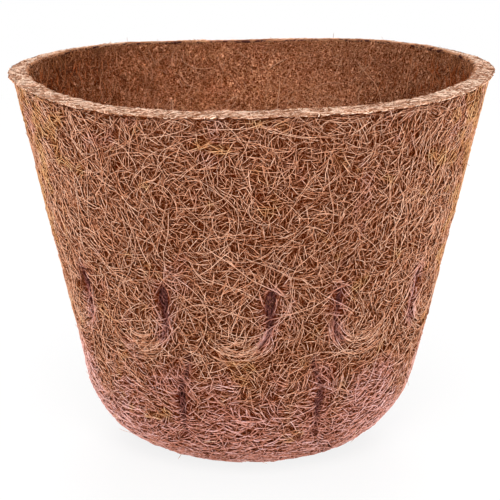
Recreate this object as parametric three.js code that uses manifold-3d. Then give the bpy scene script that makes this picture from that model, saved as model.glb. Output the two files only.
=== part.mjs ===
import * as THREE from 'three';
import { mergeVertices } from 'three/addons/utils/BufferGeometryUtils.js';
import Module from 'manifold-3d';

// Coir pot of the 8 inch size: two plies of coconut fibre felt, pressed into a tapered cup.
// Each ply is a wall blank and a base blank, and a pale band of packed fibre ends closes the rim.
// Millimetres, +Z up. The origin is the centre of the underside, and -Y is the photographed side.

// Overall form
const RIM_DIAMETER = 203;
const POT_HEIGHT = 162;
const BASE_DIAMETER = 129;
const BASE_CORNER_RADIUS = 42;

// Felt plies, and the thin film of binder between pieces
const OUTER_PLY = 3.2;
const INNER_PLY = 2.4;
const BOND_GAP = 0.3;

// Joints of the wall and base blanks, in degrees round the corner from the foot of the straight wall.
// The inner joint lies lower, so that each joint is bridged by the other ply.
const OUTER_JOINT_TURN = 6;
const INNER_JOINT_TURN = 40;

// Rim band
const RIM_OVERHANG = 1.9;
const RIM_BAND_HEIGHT = 1.6;
const RIM_EDGE_RADIUS = 0.5;
const RIM_CREST_WIDTH = 3;
const RIM_OUTWARD_FALL = 0.4;

// Upper row of slots: turns are degrees about the axis, counted from the front towards +X
const SLOT_FRONT_TURN = 5.5;
const SLOT_FIRST_TURN = 24.5;
const SLOT_STEP_TURN = 30;
const SLOT_PAIRS = 5;
const SLOT_BACK_TURN = 170.5;
const SLOT_LENGTH = 15;
const SLOT_WIDTH = 4;
const PINCHED_SLOT_WIDTH = 1.6;
const SLOT_FOOT_SHARE = 0.34;

// Fold that hooks from the foot of each slot round a tongue of felt
const TONGUE_RADIUS = 13.5;
const FOLD_SWEEP = 150;
const FOLD_GROOVE_RADIUS = 1.5;
const FOLD_GROOVE_DEPTH = 1.1;
const FOLD_RIDGE_RADIUS = 1.5;
const FOLD_RIDGE_HEIGHT = 0.8;
const FOLD_RIDGE_START = 62;

// Lower row of slits, each in a crease that runs down over the joint of wall and base
const SLIT_FIRST_TURN = 22.5;
const SLIT_STEP_TURN = 60;
const SLIT_PAIRS = 3;
const SLIT_LENGTH = 11;
const SLIT_WIDTH = 2;
const SLIT_RISE = 2.6;
const CREASE_ABOVE = 22;
const CREASE_BELOW = 7;
const CREASE_LEAN = 4.6;
const CREASE_RADIUS = 1.5;
const CREASE_DEPTH = 0.9;

// Fineness of the round forms
const TURN_STEPS = 60;
const CORNER_STEPS = 7;
const GROOVE_STEPS = 9;
const GROOVE_SIDES = 3;
const CUT_MARGIN = 2;

// Derived form: the outer line of the wall, its lean, and the arc that rounds the base corner
const rimRadius = RIM_DIAMETER / 2;
const baseRadius = BASE_DIAMETER / 2;
const wallTop = POT_HEIGHT - RIM_BAND_HEIGHT - BOND_GAP;
const wallSlope = (rimRadius - RIM_OVERHANG - baseRadius) / wallTop;
const wallLean = Math.atan(wallSlope);
const cornerSweep = Math.PI / 2 - wallLean;
const cornerCentre = new THREE.Vector2(
	baseRadius + wallSlope * BASE_CORNER_RADIUS - BASE_CORNER_RADIUS / Math.cos(wallLean),
	BASE_CORNER_RADIUS,
);
const cornerTop = BASE_CORNER_RADIUS * (1 - Math.sin(wallLean));
const outerJointTurn = THREE.MathUtils.degToRad(OUTER_JOINT_TURN);
const innerJointTurn = THREE.MathUtils.degToRad(INNER_JOINT_TURN);
const jointHeight = cornerPoint(outerJointTurn).y;
const innerPlyDepth = OUTER_PLY + BOND_GAP;
const wallThickness = innerPlyDepth + INNER_PLY;
const slotFoot = THREE.MathUtils.lerp(jointHeight, wallTop, SLOT_FOOT_SHARE);
const slitFoot = jointHeight + SLIT_RISE;

const wasm = await Module();
wasm.setup();

// Solids and geometries

function solidOf(geometry) {
	const bare = geometry.clone();
	bare.deleteAttribute('normal');
	bare.deleteAttribute('uv');
	const merged = mergeVertices(bare, 1e-4);
	const corners = [];
	for (let i = 0; i < merged.index.count; i += 3) {
		const [a, b, c] = merged.index.array.slice(i, i + 3);
		if (a !== b && b !== c && c !== a) corners.push(a, b, c);
	}
	return new wasm.Manifold(new wasm.Mesh({
		numProp: 3,
		vertProperties: new Float32Array(merged.attributes.position.array),
		triVerts: new Uint32Array(corners),
	}));
}

function geometryOf(solid) {
	const mesh = solid.getMesh();
	const geometry = new THREE.BufferGeometry();
	geometry.setAttribute('position', new THREE.BufferAttribute(mesh.vertProperties, 3));
	geometry.setIndex(new THREE.BufferAttribute(mesh.triVerts, 1));
	geometry.computeVertexNormals();
	return geometry;
}

function joined(solids) {
	return solids.reduce((whole, solid) => whole.add(solid));
}

// A revolved body, whose profile runs anticlockwise in the plane of radius and height
function revolved(profile) {
	const geometry = new THREE.LatheGeometry(profile, TURN_STEPS);
	geometry.rotateX(Math.PI / 2);
	return solidOf(geometry);
}

// The pot's section: a straight leaning wall, a rounded corner and a flat floor

// Radius of the straight wall at a height, at a depth measured square to its outer face
function wallRadius(height, depth = 0) {
	return baseRadius + wallSlope * height - depth / Math.cos(wallLean);
}

// Point of the rounded corner, turned from the foot of the wall towards the floor
function cornerPoint(turn, depth = 0) {
	const angle = -wallLean - turn;
	const radius = BASE_CORNER_RADIUS - depth;
	return new THREE.Vector2(
		cornerCentre.x + radius * Math.cos(angle),
		cornerCentre.y + radius * Math.sin(angle),
	);
}

function cornerArc(from, to, depth) {
	const steps = Math.max(1, Math.ceil(CORNER_STEPS * Math.abs(to - from) / cornerSweep));
	return Array.from({ length: steps + 1 }, (_, i) => (
		cornerPoint(THREE.MathUtils.lerp(from, to, i / steps), depth)
	));
}

// A wall blank between two depths, from its joint in the corner up to the rim band
function wallBlank(outerDepth, innerDepth, jointTurn) {
	return revolved([
		...cornerArc(jointTurn, 0, outerDepth),
		new THREE.Vector2(wallRadius(wallTop, outerDepth), wallTop),
		new THREE.Vector2(wallRadius(wallTop, innerDepth), wallTop),
		...cornerArc(0, jointTurn, innerDepth),
		cornerPoint(jointTurn, outerDepth),
	]);
}

// A base blank between two depths: a flat floor that curls up to meet its wall blank
function baseBlank(outerDepth, innerDepth, jointTurn) {
	const edgeTurn = jointTurn + BOND_GAP / (BASE_CORNER_RADIUS - innerDepth);
	return revolved([
		new THREE.Vector2(0, outerDepth),
		...cornerArc(cornerSweep, edgeTurn, outerDepth),
		...cornerArc(edgeTurn, cornerSweep, innerDepth),
		new THREE.Vector2(0, innerDepth),
	]);
}

// Rim band: a ring over the ends of both plies, level along its crest and falling outwards from it
function rimBand() {
	const low = wallTop + BOND_GAP;
	const inner = wallRadius(wallTop, wallThickness);
	const outline = [
		new THREE.Vector2(inner, low),
		new THREE.Vector2(rimRadius, low),
		new THREE.Vector2(rimRadius, POT_HEIGHT - RIM_OUTWARD_FALL),
		new THREE.Vector2(inner + RIM_CREST_WIDTH, POT_HEIGHT),
		new THREE.Vector2(inner, POT_HEIGHT),
	];
	const path = new THREE.Path();
	outline.forEach((corner, i) => {
		const before = outline[(i + outline.length - 1) % outline.length];
		const after = outline[(i + 1) % outline.length];
		const arrive = before.clone().sub(corner).setLength(RIM_EDGE_RADIUS).add(corner);
		const leave = after.clone().sub(corner).setLength(RIM_EDGE_RADIUS).add(corner);
		if (i === 0) path.moveTo(arrive.x, arrive.y);
		else path.lineTo(arrive.x, arrive.y);
		path.quadraticCurveTo(corner.x, corner.y, leave.x, leave.y);
	});
	path.closePath();
	return revolved(path.getPoints(2));
}

// Marks pressed into the outer face

// Point over the outer face at a turn and a height, raised off it by a lift
function facePoint(turn, height, lift = 0) {
	let radius = wallRadius(height, -lift);
	let level = height;
	if (height < cornerTop) {
		const down = Math.asin(Math.min(1, 1 - height / BASE_CORNER_RADIUS));
		radius = cornerCentre.x + (BASE_CORNER_RADIUS + lift) * Math.cos(down);
		level = cornerCentre.y - (BASE_CORNER_RADIUS + lift) * Math.sin(down);
	}
	return new THREE.Vector3(radius * Math.sin(turn), -radius * Math.cos(turn), level);
}

// A line over the outer face: place gives its distance across, height and lift along its length
class FaceLine extends THREE.Curve {
	constructor(turn, place) {
		super();
		this.turn = turn;
		this.place = place;
	}

	getPoint(t, target = new THREE.Vector3()) {
		const { across, height, lift } = this.place(t);
		const turn = this.turn + across / wallRadius(Math.max(height, cornerTop));
		return target.copy(facePoint(turn, height, lift));
	}
}

function barAlong(line, radius) {
	const section = new THREE.Shape();
	section.absarc(0, 0, radius, 0, 2 * Math.PI);
	return solidOf(new THREE.ExtrudeGeometry(section, {
		extrudePath: line,
		steps: GROOVE_STEPS,
		curveSegments: GROOVE_SIDES,
		bevelEnabled: false,
	}));
}

// Rises from 0 at the ends of a line to 1 along its middle
function easedIn(t, share) {
	return THREE.MathUtils.smoothstep(Math.min(t, 1 - t), 0, share);
}

// Cutter through both plies, square to the wall: a round head over a foot drawn to a narrow end
function slotCutter(turn, foot, length, width) {
	const half = width / 2;
	const narrow = half * 0.35;
	const shape = new THREE.Shape();
	shape.moveTo(narrow, 0);
	shape.quadraticCurveTo(half, length * 0.3, half, length - half);
	shape.absarc(0, length - half, half, 0, Math.PI);
	shape.quadraticCurveTo(-half, length * 0.3, -narrow, 0);
	shape.closePath();
	const depth = wallThickness + 2 * CUT_MARGIN;
	const geometry = new THREE.ExtrudeGeometry(shape, { depth, curveSegments: 3, bevelEnabled: false });
	geometry.translate(0, 0, CUT_MARGIN - depth);
	const across = new THREE.Vector3(Math.cos(turn), Math.sin(turn), 0);
	const outward = new THREE.Vector3(Math.sin(turn), -Math.cos(turn), -wallSlope).normalize();
	const upward = new THREE.Vector3().crossVectors(outward, across);
	const place = new THREE.Matrix4().makeBasis(across, upward, outward);
	place.setPosition(facePoint(turn, foot));
	return solidOf(geometry.applyMatrix4(place));
}

// Point of the arc round a tongue, at an angle turned down from the foot of its slot
function foldPlace(slot, angle, radius, lift) {
	return {
		across: slot.hand * (TONGUE_RADIUS - radius * Math.cos(angle)),
		height: slotFoot - radius * Math.sin(angle),
		lift,
	};
}

function foldGroove(slot) {
	const sweep = THREE.MathUtils.degToRad(FOLD_SWEEP);
	return barAlong(new FaceLine(slot.turn, (t) => {
		const depth = FOLD_GROOVE_DEPTH * THREE.MathUtils.smoothstep(1 - t, -0.05, 0.5);
		return foldPlace(slot, sweep * t, TONGUE_RADIUS, FOLD_GROOVE_RADIUS - depth);
	}), FOLD_GROOVE_RADIUS);
}

function foldRidge(slot) {
	const start = THREE.MathUtils.degToRad(FOLD_RIDGE_START);
	const end = THREE.MathUtils.degToRad(FOLD_SWEEP);
	const radius = TONGUE_RADIUS + FOLD_GROOVE_RADIUS + FOLD_RIDGE_RADIUS / 2;
	return barAlong(new FaceLine(slot.turn, (t) => {
		const rise = (FOLD_RIDGE_HEIGHT + CUT_MARGIN / 10) * easedIn(t, 0.4) - CUT_MARGIN / 10;
		return foldPlace(slot, THREE.MathUtils.lerp(start, end, t), radius, rise - FOLD_RIDGE_RADIUS);
	}), FOLD_RIDGE_RADIUS);
}

// The skin that the ridges belong to, so that none reaches through the outer ply
function ridgeSkin() {
	const low = cornerTop;
	const deep = OUTER_PLY / 2;
	const proud = -2 * FOLD_RIDGE_HEIGHT;
	return revolved([
		new THREE.Vector2(wallRadius(low, deep), low),
		new THREE.Vector2(wallRadius(low, proud), low),
		new THREE.Vector2(wallRadius(wallTop, proud), wallTop),
		new THREE.Vector2(wallRadius(wallTop, deep), wallTop),
		new THREE.Vector2(wallRadius(low, deep), low),
	]);
}

// Crease that carries a slit, leaning towards the front at its top
function slitCrease(slit) {
	const top = slitFoot + SLIT_LENGTH + CREASE_ABOVE;
	const bottom = jointHeight - CREASE_BELOW;
	return barAlong(new FaceLine(slit.turn, (t) => {
		const height = THREE.MathUtils.lerp(top, bottom, t);
		const lean = THREE.MathUtils.smoothstep(height, slitFoot + SLIT_LENGTH, top - CREASE_ABOVE / 3);
		const depth = CREASE_DEPTH * easedIn(t, 0.35);
		return { across: -slit.hand * CREASE_LEAN * lean, height, lift: CREASE_RADIUS - depth };
	}), CREASE_RADIUS);
}

// The rows of marks, where hand is -1 for one that leans to the left and 1 for one to the right

function mark(degrees, hand) {
	return { turn: THREE.MathUtils.degToRad(degrees), hand };
}

// Pairs of marks, mirrored left and right of the front
function mirroredPairs(count, first, step) {
	const marks = [];
	for (let i = 0; i < count; i++) {
		const degrees = first + step * i;
		marks.push(mark(-degrees, -1), mark(degrees, 1));
	}
	return marks;
}

const slots = [
	mark(SLOT_FRONT_TURN, -1),
	...mirroredPairs(SLOT_PAIRS, SLOT_FIRST_TURN, SLOT_STEP_TURN),
	mark(SLOT_BACK_TURN, 1),
];
const slits = mirroredPairs(SLIT_PAIRS, SLIT_FIRST_TURN, SLIT_STEP_TURN);

// The left half's slots stand open, and the right half's are pinched nearly shut
const openings = joined([
	...slots.map((slot) => (
		slotCutter(slot.turn, slotFoot, SLOT_LENGTH, slot.hand < 0 ? SLOT_WIDTH : PINCHED_SLOT_WIDTH)
	)),
	...slits.map((slit) => slotCutter(slit.turn, slitFoot, SLIT_LENGTH, SLIT_WIDTH)),
]);
const grooves = joined(slots.map(foldGroove));
const ridges = joined(slots.map(foldRidge)).intersect(ridgeSkin());
const creases = joined(slits.map(slitCrease));

// The pieces

const outerWall = wallBlank(0, OUTER_PLY, outerJointTurn)
	.add(ridges)
	.subtract(grooves)
	.subtract(creases)
	.subtract(openings);
const outerBase = baseBlank(0, OUTER_PLY, outerJointTurn).subtract(creases);
const innerWall = wallBlank(innerPlyDepth, wallThickness, innerJointTurn).subtract(openings);
const innerBase = baseBlank(innerPlyDepth, wallThickness, innerJointTurn);

function felt(color) {
	return new THREE.MeshStandardMaterial({ color, roughness: 1, metalness: 0 });
}

const pot = new THREE.Group();

function addPiece(name, solid, material) {
	const mesh = new THREE.Mesh(geometryOf(solid), material);
	mesh.name = name;
	pot.add(mesh);
}

addPiece('outer_wall_felt', outerWall, felt('#8f5d43'));
addPiece('outer_base_felt', outerBase, felt('#966255'));
addPiece('inner_wall_felt', innerWall, felt('#7a4c33'));
addPiece('inner_base_felt', innerBase, felt('#71452f'));
addPiece('rim_band', rimBand(), felt('#cd9e80'));

export default pot;
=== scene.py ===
"""Dresses the coir pot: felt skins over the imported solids, and the coconut fibres on them.

Laid out as an add-on with one operator for each piece or group of like pieces. Lengths are in metres.
The pot's outer face is mapped by a turn about its axis, counted from the front towards +X, and a run
along the face, counted from the centre of the underside, out over the floor, round the corner and up.
"""

import math
from typing import NamedTuple

import bmesh
import bpy
import numpy as np
from bpy.props import FloatProperty, FloatVectorProperty, IntProperty, PointerProperty
from bpy.types import Operator, Panel, PropertyGroup
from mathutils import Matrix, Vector


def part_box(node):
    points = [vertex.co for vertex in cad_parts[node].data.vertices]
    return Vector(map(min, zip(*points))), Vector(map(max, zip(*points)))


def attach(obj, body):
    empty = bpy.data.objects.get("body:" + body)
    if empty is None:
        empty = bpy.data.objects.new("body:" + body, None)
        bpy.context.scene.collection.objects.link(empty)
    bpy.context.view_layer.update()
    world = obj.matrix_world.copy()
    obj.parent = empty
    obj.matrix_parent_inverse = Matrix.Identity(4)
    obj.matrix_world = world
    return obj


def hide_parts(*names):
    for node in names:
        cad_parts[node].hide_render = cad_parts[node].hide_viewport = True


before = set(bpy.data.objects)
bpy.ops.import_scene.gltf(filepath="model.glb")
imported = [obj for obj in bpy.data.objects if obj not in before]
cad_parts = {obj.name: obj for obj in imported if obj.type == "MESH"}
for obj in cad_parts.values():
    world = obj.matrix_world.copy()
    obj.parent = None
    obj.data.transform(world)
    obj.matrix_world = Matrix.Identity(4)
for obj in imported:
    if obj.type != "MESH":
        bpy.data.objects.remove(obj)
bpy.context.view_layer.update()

bl_info = {
    "name": "Coir pot",
    "version": (1, 0, 0),
    "blender": (4, 5, 0),
    "location": "3D View > Sidebar > Coir pot",
    "description": "Felt skins and coconut fibres for a pressed coir pot",
    "category": "Object",
}

BODY = "root"
MM = 0.001
TAU = 2 * math.pi
WHITE = (1, 1, 1, 1)
MOST_FACES = 190_000
LEAST_STEPS = 4  # a strand that an opening leaves with fewer points than this is dropped
STRAY_START = 0.3 * MM
OFF_STRAIGHT = 0.001  # turns a hair's normal a little, so that it never lies quite along the hair
RIM_FALL = 1.1 * MM
DRAPE = math.radians(32)  # slope of the strands at the pot's sides, which sink to front and back
EVEN_STEPS = (0.7548777, 0.5698403)  # shares of a range that, added over and over, fill two ranges evenly


def smoothstep(low, high, x):
    t = np.clip((x - low) / (high - low), 0, 1)
    return t * t * (3 - 2 * t)


def window(x, low, full, fading, gone):
    """Rises from 0 at low to 1 at full, and falls back from fading to gone."""
    return smoothstep(low, full, x) * (1 - smoothstep(fading, gone, x))


def shares_of(whole, shares):
    """Each of the shares of a whole."""
    return [part * whole for part in shares]


def bell(x, width):
    return np.exp(-(x / width) ** 2)


def wrapped(turn):
    """A turn brought between minus and plus half a circle."""
    return (turn + math.pi) % TAU - math.pi


def round_axis(turn, radius, height):
    """Points at a turn about the pot's axis, a radius and a height."""
    return np.stack([radius * np.sin(turn), -radius * np.cos(turn), height + 0 * turn], axis=-1)


def unit(vectors):
    return vectors / np.maximum(np.linalg.norm(vectors, axis=-1, keepdims=True), 1e-12)


# Sizes and colours that a user would change

def length(name, description, default):
    return FloatProperty(name=name, description=description, default=default, unit="LENGTH", precision=5)


def angle(name, description, degrees):
    return FloatProperty(name=name, description=description, default=math.radians(degrees), subtype="ANGLE")


def colour(name, description, default):
    return FloatVectorProperty(name=name, description=description, default=default, subtype="COLOR",
                               size=3, min=0, max=1)


def count(name, description, default):
    return IntProperty(name=name, description=description, default=default, min=0)


def share(name, description, default):
    return FloatProperty(name=name, description=description, default=default, min=0, subtype="FACTOR")


def power(name, description, watts):
    return FloatProperty(name=name, description=description, default=watts, subtype="POWER")


class FeltSizes(PropertyGroup):
    outer_ply: length("Outer ply", "Thickness of the coarse outer ply", 3.2 * MM)
    bond: length("Bond", "Film of binder between the plies", 0.3 * MM)
    inner_ply: length("Inner ply", "Thickness of the fine inner ply", 2.4 * MM)
    corner_radius: length("Corner radius", "Radius that rounds the base corner", 42 * MM)
    inner_joint: angle("Inner joint", "How far round the corner the inner plies meet", 40)
    sunk: length("Sunk", "How far the matted felt lies under the strands' outer reach", 0.8 * MM)
    cell: length("Cell", "Mesh cell of the outer skin", 1.05 * MM)
    lump: length("Lump", "Height of the felt's broad lumps", 0.3 * MM)
    knot: length("Knot", "Height of the felt's small knots", 0.13 * MM)


class MarkSizes(PropertyGroup):
    slot_front: angle("Front slot", "Turn of the slot nearest the front", 5.5)
    slot_first: angle("First pair", "Turn of the first mirrored pair of slots", 24.5)
    slot_step: angle("Slot step", "Turn from one pair of slots to the next", 30)
    slot_pairs: count("Slot pairs", "Mirrored pairs of slots", 5)
    slot_back: angle("Back slot", "Turn of the slot at the back", 170.5)
    slot_foot: share("Slot foot", "Height of the slots' feet as a share of the wall", 0.34)
    slot_length: length("Slot length", "Length of a slot up the wall", 15 * MM)
    slot_width: length("Slot width", "Width of an open slot", 4 * MM)
    pinched_width: length("Pinched width", "Width of a slot that is pinched nearly shut", 1.6 * MM)
    tongue: length("Tongue", "Radius of the tongue that a fold goes round", 13.5 * MM)
    fold_sweep: angle("Fold sweep", "How far a fold goes round its tongue", 150)
    groove_depth: length("Groove depth", "Depth of a fold's groove", 1.2 * MM)
    groove_width: length("Groove width", "Half width of a fold's groove", 1.15 * MM)
    ridge_height: length("Ridge height", "Height of the ridge outside a fold", 0.9 * MM)
    ridge_width: length("Ridge width", "Half width of the ridge", 1.4 * MM)
    pillow: length("Pillow", "How far the felt swells inside a fold", 0.6 * MM)
    slit_first: angle("First slits", "Turn of the first mirrored pair of slits", 22.5)
    slit_step: angle("Slit step", "Turn from one pair of slits to the next", 60)
    slit_pairs: count("Slit pairs", "Mirrored pairs of slits", 3)
    slit_length: length("Slit length", "Length of a slit up the wall", 11 * MM)
    slit_width: length("Slit width", "Width of a slit", 2 * MM)
    slit_rise: length("Slit rise", "Height of a slit's foot over the joint of wall and base", 2.6 * MM)
    crease_above: length("Crease above", "How far a crease runs on above its slit", 22 * MM)
    crease_below: length("Crease below", "How far a crease runs on below the joint", 7 * MM)
    crease_lean: length("Crease lean", "How far a crease's top leans to the front", 4.6 * MM)
    crease_depth: length("Crease depth", "Depth of a crease", 1.3 * MM)


class FibreSizes(PropertyGroup):
    under_count: count("Under strands", "Dark short strands deep in the outer face", 12000)
    middle_count: count("Middle strands", "Darker short strands that fill the outer face", 16000)
    top_count: count("Top strands", "Short strands that make the grain of the outer face", 18000)
    long_count: count("Long strands", "Long pale strands that sweep over the outer face", 700)
    fold_count: count("Fold strands", "Strands that follow each fold round its tongue", 56)
    # The slot strands are real fibres coloured with painted shade, dark inside the slot
    slot_count: count("Slot strands", "Dark crushed strands inside an open slot", 110)
    outer_radius: length("Outer radius", "Radius of a strand of the outer face", 0.245 * MM)
    inner_count: count("Inner strands", "Short fine strands on the inner face", 20000)
    inner_long_count: count("Long inner strands", "Longer pale strands on the inner face", 560)
    inner_radius: length("Inner radius", "Radius of a strand of the inner face", 0.21 * MM)
    rim_count: count("Rim strands", "Fine pale strands on the rim", 5600)
    rim_radius: length("Rim radius", "Radius of a strand on the rim", 0.25 * MM)
    hair_count: count("Loose hairs", "Loose ends that stand off the outer face", 420)
    rim_hair_count: count("Rim hairs", "Loose ends that stand off the rim", 90)
    hair_radius: length("Hair radius", "Radius of a loose hair", 0.09 * MM)


class FibreColours(PropertyGroup):
    gap: colour("Gap", "Shaded felt between the outer strands", (0.064, 0.0075, 0.001))
    bark: colour("Bark", "Darkest outer strand", (0.13, 0.028, 0.006))
    husk: colour("Husk", "Middle outer strand", (0.42, 0.174, 0.091))
    straw: colour("Straw", "Pale outer strand", (0.60, 0.352, 0.244))
    cream: colour("Cream", "Palest strand", (0.84, 0.56, 0.42))
    rose: colour("Rose", "Pink fibre at the edges of a slot", (0.35, 0.13, 0.095))
    rosier: share("Rosier", "How much more blue the pink felt near the base has", 1.34)
    gold: colour("Gold", "Tint of the golden patches of the felt", (1.0, 1.0, 0.66))
    # Pressed is the pressed felt's own pinker tone, also darkened as painted shade in folds and creases
    pressed: colour("Pressed", "Felt crushed in a fold or crease", (0.22, 0.074, 0.058))
    # Shade is painted shade: the felt inside the slots and in the hollows of folds, creases and pits
    shade: colour("Shade", "Felt inside a slot", (0.066, 0.015, 0.014))
    lining_gap: colour("Lining gap", "Shaded felt of the inner ply", (0.105, 0.018, 0.003))
    lining: colour("Lining", "Middle strand of the inner ply", (0.56, 0.195, 0.080))
    lining_pale: colour("Pale lining", "Pale strand of the inner ply", (0.95, 0.54, 0.34))
    rim: colour("Rim", "Middle strand of the rim", (0.755, 0.42, 0.28))
    rim_pale: colour("Pale rim", "Palest strand of the rim", (0.97, 0.725, 0.56))
    rim_inside: colour("Inside of the rim", "Fibre on the rim's inner side", (0.46, 0.185, 0.08))
    rim_gap: colour("Rim gap", "Shaded felt of the rim", (0.26, 0.105, 0.05))


class StageSizes(PropertyGroup):
    elevation: angle("Elevation", "Height of the camera over the horizon", 15.08)
    distance: length("Distance", "Camera to the point that it looks at", 0.7105)
    aim_side: length("Aim side", "Sideways place of the point that the camera looks at", -0.0003)
    aim_height: length("Aim height", "Height of the point that the camera looks at", 0.0824)
    lens: FloatProperty(name="Lens", description="Focal length in millimetres on a 36 mm sensor",
                        default=117.9)
    sky: share("Sky", "Strength of the even light from all sides", 0.265)
    left: power("Left", "Power of the soft lamp on the left", 15.5)
    right: power("Right", "Power of the soft lamp on the right", 15.5)
    front: power("Front", "Power of the soft lamp high in front", 9.8)
    back: power("Back", "Power of the soft lamp behind", 42.0)
    above: power("Above", "Power of the soft lamp over the pot", 3.6)
    inside: power("Inside", "Power of the narrow lamp that lights the far inner wall", 0.018)


# The pot's form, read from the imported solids

# Waves round the rim and round the base corner: how many, how high, and the turn of a crest in degrees
RIM_RISE = ((1, 1.1 * MM, 130), (2, 1.25 * MM, 90), (3, 0.35 * MM, 15), (5, 0.4 * MM, 3))
RIM_SPREAD = ((2, 0.3 * MM, 35), (3, 0.25 * MM, -20), (7, 0.12 * MM, 10))
CORNER_SPREAD = ((1, 0.9 * MM, -75), (4, 0.3 * MM, 20))
CORNER_REACH = 24 * MM
RISE_CURVE = 2.5  # the rim's rise fades down the wall by this power
FLOOR_EDGE = 12 * MM  # run over which lumps, marks and strands lose their height towards the flat floor
LEAST_RADIUS = 3 * MM  # keeps turns finite near the axis


def waves(turn, listed):
    return sum(height * np.cos(number * (turn - math.radians(crest))) for number, height, crest in listed)


class PotForm:
    """Straight leaning wall, rounded corner and flat floor, as a map from turn, run and lift to a place."""

    def __init__(self, felt):
        wall_low, wall_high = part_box("outer_wall_felt")
        rim_low, rim_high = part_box("rim_band")
        base_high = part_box("outer_base_felt")[1]
        self.top_height = wall_high.z
        self.top_radius = wall_high.x
        self.rim_radius = rim_high.x
        self.rim_low = rim_low.z
        self.height = rim_high.z
        self.outer_ply = felt.outer_ply
        self.inner_depth = felt.outer_ply + felt.bond
        self.depth = self.inner_depth + felt.inner_ply
        self.corner_radius = felt.corner_radius
        joint_drop = self.corner_radius - wall_low.z
        joint_reach = math.sqrt(self.corner_radius ** 2 - joint_drop ** 2)
        self.floor_run = base_high.x - joint_reach
        out = self.top_radius - self.floor_run
        up = self.top_height - self.corner_radius
        self.lean = math.acos(self.corner_radius / math.hypot(out, up)) - math.atan2(up, out)
        self.foot_height = self.corner_radius * (1 - math.sin(self.lean))
        self.foot_radius = self.floor_run + self.corner_radius * math.cos(self.lean)
        self.corner_sweep = math.pi / 2 - self.lean
        self.foot_run = self.floor_run + self.corner_radius * self.corner_sweep
        self.top_run = self.foot_run + (self.top_height - self.foot_height) / math.cos(self.lean)
        self.outer_joint = self.floor_run + self.corner_radius * math.atan2(joint_reach, joint_drop)
        self.inner_joint = self.foot_run - self.corner_radius * felt.inner_joint

    def face_angle(self, run):
        """Angle of the outward direction over the horizon, from straight down on the floor."""
        return -math.pi / 2 + np.clip((run - self.floor_run) / self.corner_radius, 0, self.corner_sweep)

    def section(self, run, lift):
        """Radius and height of points at a run, lifted off the outer face."""
        facing = self.face_angle(run)
        up_wall = np.maximum(run - self.foot_run, 0)
        reach = self.corner_radius + lift
        radius = np.minimum(run, self.floor_run) + reach * np.cos(facing) + up_wall * math.sin(self.lean)
        height = self.corner_radius + reach * np.sin(facing) + up_wall * math.cos(self.lean)
        return radius, height

    def radius(self, run):
        return np.maximum(self.section(run, 0.0)[0], LEAST_RADIUS)

    def sway(self, turn, run):
        """How far hand pressing has pushed the felt out and up: most at the rim, a little in the corner."""
        grown_share = np.clip((run - self.foot_run) / (self.top_run - self.foot_run), 0, 1)
        cornered = bell(run - (self.floor_run + self.foot_run) / 2, CORNER_REACH)
        out = grown_share * waves(turn, RIM_SPREAD) + cornered * waves(turn, CORNER_SPREAD)
        return out, grown_share ** RISE_CURVE * waves(turn, RIM_RISE)

    def place(self, turn, run, lift):
        """Points in space at a turn, a run and a lift."""
        radius, height = self.section(run, lift)
        out, up = self.sway(turn, run)
        return round_axis(turn, radius + out, height + up)

    def outward(self, turn, run):
        """The direction square to the outer face."""
        facing = self.face_angle(run)
        return round_axis(turn, np.cos(facing), np.sin(facing))

    def off_floor(self, run):
        """0 on the flat floor, to 1 a little way round the corner."""
        return smoothstep(self.floor_run, self.floor_run + FLOOR_EDGE, run)

    def find(self, points):
        """The turn and run of points near the face: the map back from place."""
        x, y, height = points.T
        radius = np.hypot(x, y)
        up_wall = (radius - self.foot_radius) * math.sin(self.lean)
        up_wall = up_wall + (height - self.foot_height) * math.cos(self.lean)
        facing = np.arctan2(height - self.corner_radius, radius - self.floor_run)
        corner = self.floor_run + self.corner_radius * (facing + math.pi / 2)
        low = np.where(radius > self.floor_run, corner, radius)
        return np.arctan2(x, -y), np.where(up_wall > 0, self.foot_run + up_wall, low)


def grounded(points, clearance):
    """The points, with none lower than the clearance over the ground."""
    points[..., 2] = np.maximum(points[..., 2], clearance)
    return points


class Lumps:
    """A smooth random height over turn and run, seamless round the pot."""

    def __init__(self, seed, form, cell):
        self.cell = cell
        self.around = max(3, round(TAU * form.rim_radius / cell))
        self.rows = int(form.top_run / cell) + 6
        self.grid = np.random.default_rng(seed).uniform(-1, 1, (self.around, self.rows))

    def at(self, turn, run):
        across = turn / TAU % 1 * self.around
        along = np.clip(run / self.cell + 1, 0, self.rows - 1.01)
        i = across.astype(int)
        j = along.astype(int)
        s = smoothstep(0, 1, across - i)
        t = smoothstep(0, 1, along - j)
        i, after = i % self.around, (i + 1) % self.around
        low = self.grid[i, j] * (1 - s) + self.grid[after, j] * s
        high = self.grid[i, j + 1] * (1 - s) + self.grid[after, j + 1] * s
        return low * (1 - t) + high * t


FOOT_WIDTH = 0.1  # of the opening's full width
WIDENS = (0.05, 0.62)  # where an opening widens, as shares of its length
HEAD_START = 0.64  # where its round head starts, as a share of its length
EDGE_ENDS = (0.1, 0.92)  # the stretch that its pressed edge follows, as shares of its length
MOST_BOW = 0.6  # millimetres that its middle line may bow to the side
MOST_TILT = 0.05  # metres that its middle line may lean to the side for each metre up


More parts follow.
